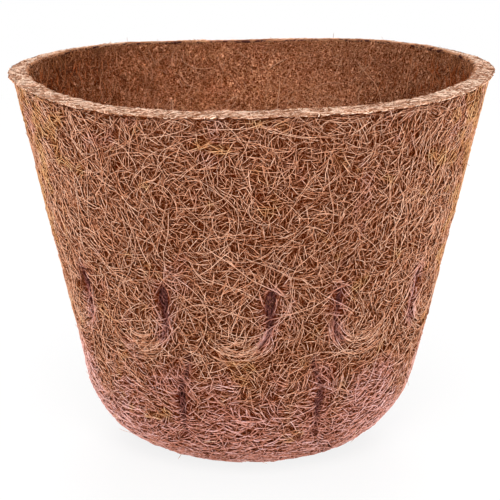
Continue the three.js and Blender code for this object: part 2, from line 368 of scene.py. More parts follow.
class Mark:
    """One slot or slit: its turn, the side that it leans to, its foot's run, its size and its own bend."""

    def __init__(self, rng, turn, hand, foot, length_up, width):
        self.turn = turn
        self.hand = hand
        self.foot = foot
        self.length = length_up
        self.width = width
        self.bow = rng.uniform(-MOST_BOW, MOST_BOW) * MM
        self.tilt = rng.uniform(-MOST_TILT, MOST_TILT)

    def bend(self, up):
        """How far the mark's middle line strays to the side."""
        share_up = np.clip(up / self.length, 0, 1)
        return self.bow * np.sin(math.pi * share_up) + self.tilt * self.length * (share_up - 0.3)

    def local(self, form, turn, run):
        """Distance across, positive towards the side that the mark leans to, and up from the foot."""
        up = run - self.foot
        return self.hand * wrapped(turn - self.turn) * form.radius(run) - self.bend(up), up

    def placed(self, form, across, up):
        """Turn and run of points at a distance across and up: the map back from local."""
        run = self.foot + up
        return self.turn + self.hand * (across + self.bend(up)) / form.radius(run), run

    def half_width(self, up):
        """Half the opening's width at a distance up from its foot: narrow at the foot, with a round head."""
        share_up = up / self.length
        body = FOOT_WIDTH + (1 - FOOT_WIDTH) * smoothstep(*WIDENS, share_up)
        up_head = np.maximum(share_up - HEAD_START, 0) / (1 - HEAD_START)
        head = np.sqrt(np.clip(1 - up_head ** 2, 0, None))
        return np.where((up < 0) | (up > self.length), 0, self.width / 2 * np.minimum(body, head))

    def edge(self, across, up, width):
        """How near a point is to the opening, from 0 to 1."""
        low, high = shares_of(self.length, EDGE_ENDS)
        along = up - np.clip(up, low, high)
        return bell(np.hypot(across, along), width)


def mirrored(mark, first, step, pairs):
    """Pairs of marks at even steps of turn to either side of the front."""
    return [mark(side * (first + step * i), side) for i in range(pairs) for side in (-1, 1)]


# Cells of the face's lumps, and the part of it that one mark may change: to either side, and up and down
BROAD_CELL = 17 * MM
SMALL_CELL = 5 * MM
MARK_REACH = 40 * MM
MARK_MIDDLE = 5 * MM
MARK_HEIGHT = 45 * MM

# Where something starts, is full, fades and is gone: in radians round a tongue, as shares of a fold's sweep,
# or as distances up from a slit's foot
SWEPT_ROUND = (-0.3, 0.3, 2.2, 2.9)
TAIL_START = (-0.25, 0.05)
TAIL_END = (0.22, 0.42)
REST = (0.2, 0.4, 0.5, 1.02)
RIDGE = (0.2, 0.5, 0.85, 1.08)
SLIT_HALO = (-20 * MM, -8 * MM, 16 * MM, 30 * MM)

# The strands that go round a tongue: their middle as a share of its radius, and how far they spread
SWEPT_MIDDLE = 1.05
SWEPT_WIDTH = 5.5 * MM

# A fold's pillow, as shares of its tongue's radius, its ridge, as groove widths outside the groove, and the
# depth of the groove past its tail
PILLOW = (0.45, 0.95)
RIDGE_OUT = 1.7
REST_DEPTH = 0.45

# Depths and half widths of the edges of openings, of the dimple and the brow over a slot and of a slit's
# pit, and how far they stand over the slot's head or below the slit's foot
SLOT_EDGE_DEPTH = 0.7 * MM
SLIT_EDGE_DEPTH = 0.5 * MM
SLIT_EDGE = 1.7 * MM
DIMPLE_DEPTH = 0.8 * MM
DIMPLE_WIDTH = 2.6 * MM
DIMPLE_ABOVE = 10.5 * MM
BROW_HEIGHT = 0.6 * MM
BROW_WIDTH = 1.3 * MM
BROW_SPREAD = 7 * MM
BROW_ABOVE = 15 * MM
BROW_ARCH = 12  # how fast the brow falls to its sides: metres of fall for each square metre
PIT_DEPTH = 0.5 * MM
PIT_WIDTH = 1.7 * MM
PIT_BELOW = 9.5 * MM
CREASE_WIDTH = 1.3 * MM

# Half widths of the pink stains round folds, slots and slits
FOLD_STAIN = 3.6 * MM
SLOT_STAIN = 4.2 * MM
SLIT_STAIN = 6.5 * MM

# The pink band over the base: how far it reaches over the joint, how it fades, and how far its edge wanders
BAND_ABOVE = 15 * MM
BAND_FADE = 13 * MM
BAND_WANDER = 13 * MM


class PressedFace:
    """The outer face's lumps and pressed marks over the smooth form."""

    def __init__(self, form, marks, felt):
        self.form = form
        self.sizes = marks
        self.broad = Lumps(11, form, BROAD_CELL)
        self.small = Lumps(12, form, SMALL_CELL)
        self.lump = felt.lump
        self.knot = felt.knot
        rng = np.random.default_rng(14)
        joint_height = form.section(form.outer_joint, 0.0)[1]
        slot_height = joint_height + marks.slot_foot * (form.top_height - joint_height)
        slot_run = form.foot_run + (slot_height - form.foot_height) / math.cos(form.lean)
        slit_run = form.outer_joint + marks.slit_rise

        def slot(turn, hand):
            width = marks.slot_width if hand < 0 else marks.pinched_width
            return Mark(rng, turn, hand, slot_run, marks.slot_length, width)

        def slit(turn, hand):
            return Mark(rng, turn, hand, slit_run, marks.slit_length, marks.slit_width)

        self.slots = [slot(marks.slot_front, -1), slot(marks.slot_back, 1)]
        self.slots += mirrored(slot, marks.slot_first, marks.slot_step, marks.slot_pairs)
        self.slits = mirrored(slit, marks.slit_first, marks.slit_step, marks.slit_pairs)
        self.marks = self.slots + self.slits

    def swept_heading(self, turn, run, heading):
        """The heading, turned to run round the tongues near the folds, and how far it is turned, 0 to 1."""
        level, upright = np.cos(2 * heading), np.sin(2 * heading)
        most = np.zeros_like(heading)
        for mark in self.slots:
            across, up = mark.local(self.form, turn, run)
            right = across - self.sizes.tongue
            swept = np.arctan2(-up, -right)
            near = bell(np.hypot(right, up) - SWEPT_MIDDLE * self.sizes.tongue, SWEPT_WIDTH)
            near = near * window(swept, *SWEPT_ROUND)
            round_it = np.arctan2(-np.cos(swept), mark.hand * np.sin(swept))
            level = level * (1 - near) + near * np.cos(2 * round_it)
            upright = upright * (1 - near) + near * np.sin(2 * round_it)
            most = np.maximum(most, near)
        return np.arctan2(upright, level) / 2, most

    def fold(self, across, up):
        """Height, crushing with painted shade, and blush of the fold round a tongue, which hooks from the
        foot of its slot.
        """
        sizes = self.sizes
        right = across - sizes.tongue
        reach = np.hypot(right, up)
        swept = np.arctan2(-up, -right)
        end = sizes.fold_sweep
        tail = window(swept, *TAIL_START, *shares_of(end, TAIL_END))
        rest = window(swept, *shares_of(end, REST))
        ridge = window(swept, *shares_of(end, RIDGE))
        off_line = reach - sizes.tongue
        line = bell(off_line, sizes.groove_width)
        crest = ridge * bell(off_line - RIDGE_OUT * sizes.groove_width, sizes.ridge_width)
        inside = 1 - smoothstep(*shares_of(sizes.tongue, PILLOW), reach)
        groove = sizes.groove_depth * (tail + REST_DEPTH * rest) * line
        height = sizes.ridge_height * crest + sizes.pillow * inside - groove
        return height, tail * line, tail * bell(off_line, FOLD_STAIN)

    def slot_press(self, mark, across, up):
        """Height, crushing with painted shade, and blush round a slot: its edge, its fold, a dimple over it
        and a brow over that.
        """
        fold, dip, stain = self.fold(across, up)
        open_share = min(1, mark.width / self.sizes.slot_width)
        edge = open_share ** 0.6 * mark.edge(across, up, (0.8 + 0.9 * open_share) * MM)
        over = up - mark.length
        dimple = bell(np.hypot(across, over - DIMPLE_ABOVE), DIMPLE_WIDTH)
        brow = bell(over - BROW_ABOVE + across ** 2 * BROW_ARCH, BROW_WIDTH) * bell(across, BROW_SPREAD)
        height = fold - SLOT_EDGE_DEPTH * edge - DIMPLE_DEPTH * dimple + BROW_HEIGHT * brow
        # Partly pressed felt, partly painted shade: the groove, the slot's edge and the dimple are darkened
        crush = np.maximum.reduce([0.95 * dip, 0.9 * edge, 0.3 * dimple])
        return height, crush, np.maximum(stain, mark.edge(across, up, SLOT_STAIN))

    def slit_press(self, mark, across, up):
        """Height, crushing with painted shade, and blush round a slit: its edge, its leaning crease and the
        crease's pit.
        """
        sizes = self.sizes
        top = mark.length + sizes.crease_above
        bottom = -sizes.slit_rise - sizes.crease_below
        lean = sizes.crease_lean * smoothstep(mark.length, top - sizes.crease_above / 3, up)
        ends = window(up, bottom - 3 * MM, bottom + 6 * MM, top - 9 * MM, top)
        crease = ends * bell(across + lean, CREASE_WIDTH)
        edge = mark.edge(across, up, SLIT_EDGE)
        pit = bell(np.hypot(across, up + PIT_BELOW), PIT_WIDTH)
        halo = bell(across, SLIT_STAIN) * window(up, *SLIT_HALO)
        height = -sizes.crease_depth * crease - SLIT_EDGE_DEPTH * edge - PIT_DEPTH * pit
        # Partly pressed felt, partly painted shade: the crease, the slit's edge and the pit are darkened
        crush = np.maximum.reduce([0.9 * crease, 0.95 * edge, 0.8 * pit])
        return height, crush, np.minimum(1.3 * halo, 1)

    def at(self, turn, run):
        """Height over the smooth form, crushing with painted shade from 0 to 1 and blush from 0 to 1, at each
        turn and run.
        """
        height = self.lump * self.broad.at(turn, run) + self.knot * self.small.at(turn, run)
        crush = np.zeros_like(height)
        patches = self.broad.at(turn + 1.0, run) + 0.6 * self.small.at(turn + 2.0, run)
        under = self.form.outer_joint + BAND_ABOVE - run + BAND_WANDER * patches
        blush = np.maximum(smoothstep(-BAND_FADE, BAND_FADE, under), 0.4 * smoothstep(0.62, 0.95, patches))
        for mark in self.marks:
            across, up = mark.local(self.form, turn, run)
            near = (np.abs(across) < MARK_REACH) & (np.abs(up - MARK_MIDDLE) < MARK_HEIGHT)
            press = self.slot_press if mark in self.slots else self.slit_press
            pressed, crushed_shaded, stained = press(mark, across[near], up[near])
            height[near] += pressed
            crush[near] = np.maximum(crush[near], crushed_shaded)
            blush[near] = np.maximum(blush[near], stained)
        return height, crush, blush

    def opened(self, turn, run, margin):
        """True where a point lies in a slot or slit, or nearer to it than the margin."""
        inside = np.zeros(np.shape(turn), bool)
        for mark in self.marks:
            across, up = mark.local(self.form, turn, run)
            half = mark.half_width(np.clip(up, 0.1 * MM, mark.length - 0.1 * MM)) + margin
            inside |= (np.abs(across) < half) & (up > -margin) & (up < mark.length + margin)
        return inside


# Meshes from arrays

def mesh_of(name, points, quads, triangles=np.empty((0, 3), int), uv=None):
    """A smooth mesh. The map, where there is one, has the quads' corners and then the triangles'."""
    corners = np.concatenate([quads.ravel(), triangles.ravel()]).astype(np.int32)
    starts = np.concatenate([np.arange(len(quads)) * 4, 4 * len(quads) + np.arange(len(triangles)) * 3])
    mesh = bpy.data.meshes.new(name)
    mesh.vertices.add(len(points))
    mesh.vertices.foreach_set("co", np.ascontiguousarray(points, dtype=np.float32).ravel())
    mesh.loops.add(len(corners))
    mesh.loops.foreach_set("vertex_index", corners)
    mesh.polygons.add(len(starts))
    mesh.polygons.foreach_set("loop_start", starts.astype(np.int32))
    mesh.update(calc_edges=True)
    mesh.polygons.foreach_set("use_smooth", np.ones(len(starts), bool))
    if uv is not None:
        layer = mesh.uv_layers.new(name="OFBake")
        layer.data.foreach_set("uv", np.ascontiguousarray(uv, dtype=np.float32).ravel())
    return mesh


def add_values(mesh, name, values):
    layer = mesh.attributes.new(name, "FLOAT", "POINT")
    layer.data.foreach_set("value", np.ascontiguousarray(values, dtype=np.float32).ravel())


def ring_quads(rings, around, closed=False):
    """Faces of a grid of rings, each closed on itself, and the last joined to the first where asked."""
    i = np.arange(rings if closed else rings - 1)[:, None]
    j = np.arange(around)[None]
    k = (i + 1) % rings
    after = (j + 1) % around
    quads = np.stack([i * around + j, i * around + after, k * around + after, k * around + j], axis=-1)
    return quads.reshape(-1, 4)


def cap_triangles(rings, around):
    """Faces that close the first and the last of many rings round two points that follow them all."""
    j = np.arange(around)
    after = (j + 1) % around
    last = (rings - 1) * around
    first_tip = np.full(around, rings * around)
    return np.concatenate([np.stack([after, j, first_tip], axis=-1),
                           np.stack([last + j, last + after, first_tip + 1], axis=-1)])


def turned_out(mesh):
    """The mesh with its faces pointing out."""
    work = bmesh.new()
    work.from_mesh(mesh)
    bmesh.ops.recalc_face_normals(work, faces=work.faces)
    if work.calc_volume(signed=True) < 0:
        bmesh.ops.reverse_faces(work, faces=work.faces)
    work.to_mesh(mesh)
    work.free()
    return mesh


def add_piece(name, mesh, material, slot, *nodes):
    """Puts a finished piece in the scene, on the pot's body."""
    piece = bpy.data.objects.new(name, mesh)
    bpy.context.scene.collection.objects.link(piece)
    mesh.materials.append(material)
    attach(piece, BODY)
    if nodes:
        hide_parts(*nodes)
    return piece


def flat(lift):
    """A lift that is the same everywhere."""
    return lambda turn, run: np.full(np.shape(turn), lift)


def runs_to(first, last, step):
    """Runs at even steps, and one at the edge."""
    return np.append(np.arange(first, last, step), last)


def felt_shell(name, form, around, outside, inside, dish=False):
    """A closed ring of felt, or a dish closed at the axis. Outside and inside give the runs of its two
    faces, from the foot or the axis up, and a function for their lift."""
    turn = np.arange(around) * TAU / around
    rows = [(run, outside[1]) for run in outside[0]] + [(run, inside[1]) for run in inside[0][::-1]]
    points = [form.place(turn, np.full(around, run), lift(turn, run)) for run, lift in rows]
    if not dish:
        return turned_out(mesh_of(name, np.concatenate(points), ring_quads(len(rows), around, True)))
    axis = np.zeros(1)
    points += [form.place(axis, axis, lift(axis, 0.0)) for lift in (outside[1], inside[1])]
    quads = ring_quads(len(rows), around)
    return turned_out(mesh_of(name, np.concatenate(points), quads, cap_triangles(len(rows), around)))


CUT_BEYOND = 4 * MM  # how far the cutters pass the felt on either side
FAN_RADIUS = 4 * MM  # radius of the fan of triangles that closes a dish


def opening_cutters(form, face, steps=18):
    """One mesh of bars that pass through both plies at every slot and slit, with slightly ragged outlines."""
    rng = np.random.default_rng(31)
    ring = 2 * steps
    points, quads = [], []
    for mark in face.marks:
        up = (0.5 - 0.5 * np.cos(np.linspace(0, math.pi, steps))) * mark.length
        half = np.maximum(mark.half_width(up), 0.03 * mark.width)
        across = np.concatenate([half, -half[::-1]]) * (1 + rng.uniform(-0.1, 0.1, ring))
        turn, along = mark.placed(form, across, np.concatenate([up, up[::-1]]))
        first = ring * len(points)
        points += [form.place(turn, along, lift) for lift in (CUT_BEYOND, -form.depth - CUT_BEYOND)]
        quads.append(first + ring_quads(2, ring))
        step = np.arange(steps - 1)
        cap = np.stack([step, step + 1, ring - 2 - step, ring - 1 - step], axis=-1) + first
        quads += [cap[:, ::-1], cap + ring]
    return turned_out(mesh_of("opening_cutters", np.concatenate(points), np.concatenate(quads)))


def cut_openings(mesh, cutters):
    """The mesh with the slots and slits cut through it."""
    body = bpy.data.objects.new("felt_to_cut", mesh)
    tool = bpy.data.objects.new("opening_tool", cutters)
    for item in (body, tool):
        bpy.context.scene.collection.objects.link(item)
    cut = body.modifiers.new("Openings", "BOOLEAN")
    cut.operation = "DIFFERENCE"
    cut.solver = "MANIFOLD"
    cut.object = tool
    bpy.context.view_layer.update()
    done = bpy.data.meshes.new_from_object(body.evaluated_get(bpy.context.evaluated_depsgraph_get()))
    done.name = mesh.name
    for item in (body, tool):
        bpy.data.objects.remove(item)
    if len(done.vertices) < len(mesh.vertices) // 2:
        raise RuntimeError("the openings were not cut from " + mesh.name)
    done.materials.clear()
    done.polygons.foreach_set("material_index", np.zeros(len(done.polygons), np.int32))
    done.polygons.foreach_set("use_smooth", np.ones(len(done.polygons), bool))
    return done


def mark_crush_shade(mesh, form, face):
    """Stores on each point of a skin how far its felt is pressed down and darkened with painted shade in a
    mark, and how pink it is.
    """
    points = np.empty(3 * len(mesh.vertices), np.float32)
    mesh.vertices.foreach_get("co", points)
    turn, run = form.find(points.reshape(-1, 3).astype(float))
    _, crush, blush = face.at(turn, run)
    add_values(mesh, "crush", crush)
    add_values(mesh, "blush", blush)


# Fibres

LEVEL_REACH = 34 * MM  # over the joint, the run where strands are no longer drawn level
LEVEL_PULL = 0.72
DRAPE_PULL = 0.6
DRAPE_SIDES = (0.4, 0.95)  # where the slope sets in, as a share of the pot's half width
TURN_BACK = 1.5  # a strand past the edge is turned back by this share of what is past it
AXIS_GAP = 2 * MM  # no strand comes nearer to the axis
NEAR_RIM = (-7 * MM, -3 * MM)  # where the inner strands darken below the rim


class Growth(NamedTuple):
    """How strands of one layer lie: their length, their curl, and how far they follow a patchy flow."""

    number: int
    steps: int
    mean_length: float
    curl: float
    wander: float
    flow: float = 0.6
    spread: float = 0.45
    patch: float = 26 * MM
    flow_seed: int = 13


class Weave(NamedTuple):
    """Where a layer's strands lie in the felt's depth: their levels, rise and fall, and rooted ends."""

    low: float
    high: float
    sway: float
    rooted: float

    def lift(self, rng, shape):
        """Height of every point of the strands over the face."""
        t = np.linspace(0, 1, shape[1])[None]
        level = rng.uniform(self.low, self.high, (shape[0], 1))
        turns = rng.uniform(0.5, 2.5, (shape[0], 1))
        rise = self.sway * np.sin(TAU * (t * turns + rng.uniform(0, 1, (shape[0], 1))))
        return level + rise - self.rooted * (1 - smoothstep(0, 0.16, np.minimum(t, 1 - t)))


class Paths:
    """Strands laid over a face: the turn and run of every point of every strand."""

    def __init__(self, turns, runs, axis):
        """Joins the steps of the same strands along axis 1, or further strands along axis 0."""
        join = np.stack if axis else np.concatenate
        self.turn = join(turns, axis=axis)
        self.run = join(runs, axis=axis)

    def cut_short(self, blocked):
        """Keeps each strand up to its first blocked point, and drops those that are left too short."""
        steps = self.turn.shape[1]
        first = np.where(blocked.any(axis=1), blocked.argmax(axis=1), steps)
        rows = np.flatnonzero(first >= LEAST_STEPS)[:, None]
        along = (first[rows] - 1.0) * np.linspace(0, 1, steps)
        before = np.minimum(along.astype(int), steps - 2)
        part = along - before
        self.turn = self.turn[rows, before] * (1 - part) + self.turn[rows, before + 1] * part
        self.run = self.run[rows, before] * (1 - part) + self.run[rows, before + 1] * part

    def trim(self, form, face, rng, strays, margins):
        """Turns back what runs past the rim's uneven edge, and cuts strands at openings and the axis."""
        many = (len(self.run), 1)
        edge = form.top_run + rng.uniform(*strays, many) * MM
        self.run = self.run - TURN_BACK * np.maximum(self.run - edge, 0)
        margin = rng.uniform(*margins, many) * MM if margins else 0.0
        self.cut_short(face.opened(self.turn, self.run, margin) | (self.run < AXIS_GAP))


def even_runs(form, low_run, high_run, share_up):
    """The runs that have a given share of the face's area below them, counted between two runs."""
    table = np.linspace(low_run, high_run, 200)
    area = np.cumsum(form.radius(table))
    return np.interp(area[0] + share_up * (area[-1] - area[0]), area, table)


def grown(form, rng, growth, low_run, face=None):
    """Strands begun evenly from a run up to the rim, most of them along a random flow, which is level low
    down, slopes at the sides and goes round the tongues."""
    number, steps = growth.number, growth.steps
    up_share, round_share = [(rng.uniform() + np.arange(number) * part) % 1 for part in EVEN_STEPS]
    run = even_runs(form, low_run, form.top_run, up_share) + rng.normal(0, STRAY_START, number)
    turn = (round_share - 0.5) * TAU + rng.normal(0, STRAY_START, number) / form.radius(run)
    near_base = 1 - smoothstep(form.outer_joint, form.outer_joint + LEVEL_REACH, run)
    flow = math.pi * Lumps(growth.flow_seed, form, growth.patch).at(turn, run)
    drawn = DRAPE_PULL * smoothstep(*DRAPE_SIDES, np.abs(np.sin(turn)))
    flow = (flow * (1 - drawn) + drawn * DRAPE * np.sin(turn)) * (1 - LEVEL_PULL * near_base)
    flow, swept = face.swept_heading(turn, run, flow) if face else (flow, 0)
    follows = rng.uniform(0, 1, number) < np.maximum(growth.flow, swept)
    heading = np.where(follows, flow + rng.normal(0, growth.spread, number), rng.uniform(0, TAU, number))
    heading = heading + math.pi * rng.integers(0, 2, number)
    reach = np.minimum(rng.gamma(4, growth.mean_length / 4, number), 2.5 * growth.mean_length)
    step = reach / (steps - 1)
    bend = rng.normal(0, growth.curl, number)
    stray = np.zeros(number)
    half = steps // 2
    run = run - np.sin(heading) * step * half
    turn = turn - np.cos(heading) * step * half / form.radius(run)
    heading = heading - bend * step * half
    turns, runs = [turn], [run]
    for _ in range(steps - 1):
        stray = 0.6 * stray + rng.normal(0, growth.wander, number)
        heading = heading + (bend + stray) * step
        turn = turn + np.cos(heading) * step / form.radius(run)
        run = run + np.sin(heading) * step
        turns.append(turn)
        runs.append(run)
    return Paths(turns, runs, axis=1)


def tube_arrays(points, normals, radii, sides):
    """Points, quads and triangles of closed tubes along many paths at once."""
    many, steps, _ = points.shape
    ahead = unit(np.gradient(points, axis=1))
    across = unit(np.cross(normals, ahead))
    over = np.cross(ahead, across)
    spin = (np.arange(sides) * TAU / sides + math.pi / 2)[:, None]
    ring = np.cos(spin) * across[:, :, None] + np.sin(spin) * over[:, :, None]
    skin = points[:, :, None] + ring * radii[:, :, None, None]
    tips = points[:, [0, -1]] + ahead[:, [0, -1]] * radii[:, [0, -1], None] * [[-1], [1]]
    cloud = np.concatenate([skin.reshape(many, steps * sides, 3), tips], axis=1)
    first = (np.arange(many) * cloud.shape[1])[:, None, None]
    quads = (first + ring_quads(steps, sides)).reshape(-1, 4)
    triangles = (first + cap_triangles(steps, sides)).reshape(-1, 3)
    return cloud.reshape(-1, 3), quads, triangles


def tube_map(many, steps, sides):
    """A map with one small cell for each tube, its length across the cell and its girth up it."""
    columns = max(1, round(math.sqrt(many / 4)))
    rows = math.ceil(many / columns)
    cell = np.stack([np.arange(many) % columns / columns, np.arange(many) // columns / rows], axis=-1)
    m, s = [part.reshape(-1, 1) for part in np.mgrid[:steps - 1, :sides]]
    j = np.arange(sides)[:, None]
    faces = [(0.08 + 0.84 * (m + [0, 0, 1, 1]) / (steps - 1), s + [0, 1, 1, 0]),
             (0 * j + [0.08, 0.08, 0.03], j + [1, 0, 0.5]),
             (0 * j + [0.92, 0.92, 0.97], j + [0, 1, 0.5])]
    maps = [np.stack([u, 0.15 + 0.7 * v / sides], axis=-1).reshape(-1, 2) / [columns, rows] for u, v in faces]
    skin, caps = maps[0], np.concatenate(maps[1:])
    return np.concatenate([(part + cell[:, None]).reshape(-1, 2) for part in (skin, caps)])


def add_strands(name, points, normals, radii, values, material, slot, sides=3):
    """Adds many strands as pieces small enough to stay under MOST_FACES faces each."""
    steps = points.shape[1]
    batches = max(1, math.ceil(len(points) * 2 * sides * steps / MOST_FACES))
    turned = 0.5 - 0.5 * np.cos(np.arange(sides) * TAU / sides)
    for i, rows in enumerate(np.array_split(np.arange(len(points)), batches)):
        cloud, quads, triangles = tube_arrays(points[rows], normals[rows], radii[rows], sides)
        uv = tube_map(len(rows), steps, sides)
        mesh = mesh_of(f"{name}_{i + 1}", cloud, quads, triangles, uv)
        for key, value in values.items():
            around = np.repeat(value[rows], sides, axis=1)
            add_values(mesh, key, np.concatenate([around, value[rows][:, [0, -1]]], axis=1))
        # flank runs from 0 on a strand's crest to 0.75 on its lower sides, where the material paints shade
        flank = np.tile(np.concatenate([np.tile(turned, steps), [0.5, 0.5]]), len(rows))
        add_values(mesh, "flank", flank)
        add_piece(f"{name}_{i + 1}", mesh, material, slot)


def thinned(shape, radius, rng, spread=0.22):
    """Radius along each strand, which thins to its ends."""
    t = np.linspace(-1, 1, shape[1])[None]
    own = radius * np.exp(spread * np.clip(rng.normal(0, 1, (shape[0], 1)), -2, 2))
    return own * (1 - 0.75 * t ** 8)


def own_tones(rng, shape, low, high):
    """One tone for each strand, mostly near the middle of its range, repeated along it."""
    return np.repeat(low + (high - low) * rng.beta(2.2, 2.2, (shape[0], 1)), shape[1], axis=1)


# Materials

class Nodes:
    """A node tree, and short ways to add nodes to it and join them."""

    def __init__(self, tree):
        self.tree = tree

    def add(self, kind, **settings_by_name):
        node = self.tree.nodes.new(kind)
        for key, value in settings_by_name.items():
            if key in node.inputs:
                node.inputs[key].default_value = value
            else:
                setattr(node, key, value)
        return node

    def join(self, source, target):
        self.tree.links.new(source, target)

    def fed(self, source, kind, socket, **settings_by_name):
        """A new node, with a source joined to one of its sockets."""
        node = self.add(kind, **settings_by_name)
        self.join(source, node.inputs[socket])
        return node

    def own_place(self):
        return self.add("ShaderNodeTexCoord").outputs["Object"]

    def along(self, axis):
        """Place along one of the pot's axes."""
        return self.fed(self.own_place(), "ShaderNodeSeparateXYZ", 0).outputs[axis]

    def sideways(self):
        """Distance from the pot's middle plane, to either side."""
        return self.maths("ABSOLUTE", self.along("X"), 0.0)

    def noise(self, scale, detail=1.0, distortion=0.0):
        node = self.fed(self.own_place(), "ShaderNodeTexNoise", "Vector", Scale=scale, Detail=detail,
                        Distortion=distortion)
        return node.outputs["Fac"]

    def value(self, name):
        return self.add("ShaderNodeAttribute", attribute_name=name).outputs["Fac"]

    def maths(self, operation, a, b):
        node = self.add("ShaderNodeMath", operation=operation)
        for socket, source in zip(node.inputs, (a, b)):
            if isinstance(source, (int, float)):
                socket.default_value = source
            else:
                self.join(source, socket)
        return node.outputs[0]

    def times(self, a, b):
        return self.maths("MULTIPLY", a, b)

    def stretch(self, source, low, high, out_low=0.0, out_high=1.0, **settings_by_name):
        limits = {"From Min": low, "From Max": high, "To Min": out_low, "To Max": out_high}
        return self.fed(source, "ShaderNodeMapRange", "Value", **limits, **settings_by_name).outputs["Result"]

    def ramp(self, source, stops):
        node = self.fed(source, "ShaderNodeValToRGB", "Fac")
        points = node.color_ramp.elements
        while len(points) < len(stops):
            points.new(0.5)
        for point, (place, shade) in zip(points, stops):
            point.position = place
            point.color = (*shade, 1)
        return node.outputs["Color"]

    def mixed(self, share_of_second, first, second):
        node = self.fed(share_of_second, "ShaderNodeMix", 0, data_type="RGBA")
        sockets = [s for s in node.inputs if s.type == "RGBA"]
        for socket, source in zip(sockets, (first, second)):
            if isinstance(source, bpy.types.NodeSocket):
                self.join(source, socket)
            else:
                socket.default_value = (*source, 1)
        return next(s for s in node.outputs if s.type == "RGBA")


class Finish(Nodes):
    """A new material with one shader."""

    def __init__(self, name, roughness, shine):
        self.material = bpy.data.materials.new(name)
        self.material.use_nodes = True
        super().__init__(self.material.node_tree)
        self.shader = self.tree.nodes["Principled BSDF"]
        self.shader.inputs["Roughness"].default_value = roughness
        self.shader.inputs["Specular IOR Level"].default_value = shine

    def coloured(self, source):
        """The material, with its colour joined."""
        self.join(source, self.shader.inputs["Base Color"])
        return self.material


# Tints of a ramp's colours: how much of their red, green and blue is left
# The pinker tint is the felt's own pink, and its raised red and green are painted bounce light near the base
FLUSHED_AND_BOUNCE_LIT = (1.05, 1.02)
# Painted shade: the lining's colours towards its left and right sides
PAINTED_SIDE_SHADE = (0.8, 0.53, 0.35)

# Scales of the noise, in waves for each metre: in the matted fibre, along a strand, between clumps and
# between golden patches
MATTED_SCALES = (520, 830, 1250)
PATCHY_SCALE = 1050
CLUMP_SCALE = 38
GOLD_SCALE = 85

# How much the patches change a strand's tone: on the outer face and the rim, on the lining, and in clumps
PATCHY = 0.85
LINING_PATCHY = 0.45
CLUMPED = 0.06

# Distances to either side, and heights, between which a change sets in
GOLD_SIDES = (64 * MM, 90 * MM)
# Painted light: the tone is raised low on the sides near the base, where floor bounce light falls
BOUNCE_LIT_SIDES = (35 * MM, 72 * MM)
BOUNCE_LIT_HEIGHTS = (35 * MM, 55 * MM)
# Painted shade darkens the lining between these distances to either side
PAINTED_SHADE_SIDES = (42 * MM, 88 * MM)


def shades(**places):
    """The stops of a ramp, from the place of each of the user's colours on it."""
    return [(place, tuple(getattr(settings().colours, name))) for name, place in places.items()]


def tint_of(stops, factors):
    return [(place, tuple(min(1, part * factor) for part, factor in zip(tone, factors)))
            for place, tone in stops]


def tangle(nodes, scale, width):
    """Thin curly lines, like strands seen from above: where a noise passes through its middle."""
    middle = nodes.maths("SUBTRACT", nodes.noise(scale, distortion=0.6), 0.5)
    return nodes.stretch(nodes.maths("ABSOLUTE", middle, 0.0), 0.0, width, 1.0, 0.0)


def tinted(nodes, tone, stops):
    """The tone's colour, pinker where the felt blushes, and golden in patches, most of all at the sides."""
    colours = settings().colours
    # Pink felt, a little lighter as painted bounce light where it blushes near the base
    pink = nodes.ramp(tone, tint_of(stops, (*FLUSHED_AND_BOUNCE_LIT, colours.rosier)))
    shade = nodes.mixed(nodes.value("blush"), nodes.ramp(tone, stops), pink)
    side = nodes.stretch(nodes.sideways(), *GOLD_SIDES, 0.0, 0.23)
    patches = nodes.maths("ADD", nodes.noise(GOLD_SCALE, detail=2.0), side)
    gold = nodes.ramp(tone, tint_of(stops, colours.gold))
    return nodes.mixed(nodes.stretch(patches, 0.64, 0.74, 0.0, 0.75), shade, gold)


def felt_material(name, stops, tint=False):
    """Felt seen between its strands: matted short fibre over painted shade, pinker low down, dark with
    painted shade where pressed in the marks.
    """
    nodes = Finish(name, 0.95, shine=0.0)
    coarse, middle, fine = [tangle(nodes, *each) for each in zip(MATTED_SCALES, (0.035, 0.04, 0.05))]
    fibre = nodes.maths("MAXIMUM", coarse, middle)
    fibre = nodes.maths("MAXIMUM", fibre, nodes.times(fine, 0.7))
    shade = tinted(nodes, fibre, stops) if tint else nodes.ramp(fibre, stops)
    bump = nodes.fed(fibre, "ShaderNodeBump", "Height", Distance=0.3 * MM, Strength=1.0)
    nodes.join(bump.outputs["Normal"], nodes.shader.inputs["Normal"])
    # Painted shade: pressed felt in the marks' hollows goes nearly to the dark shade colour
    crush = nodes.times(nodes.value("crush"), 0.95)
    return nodes.coloured(nodes.mixed(crush, shade, settings().colours.shade))


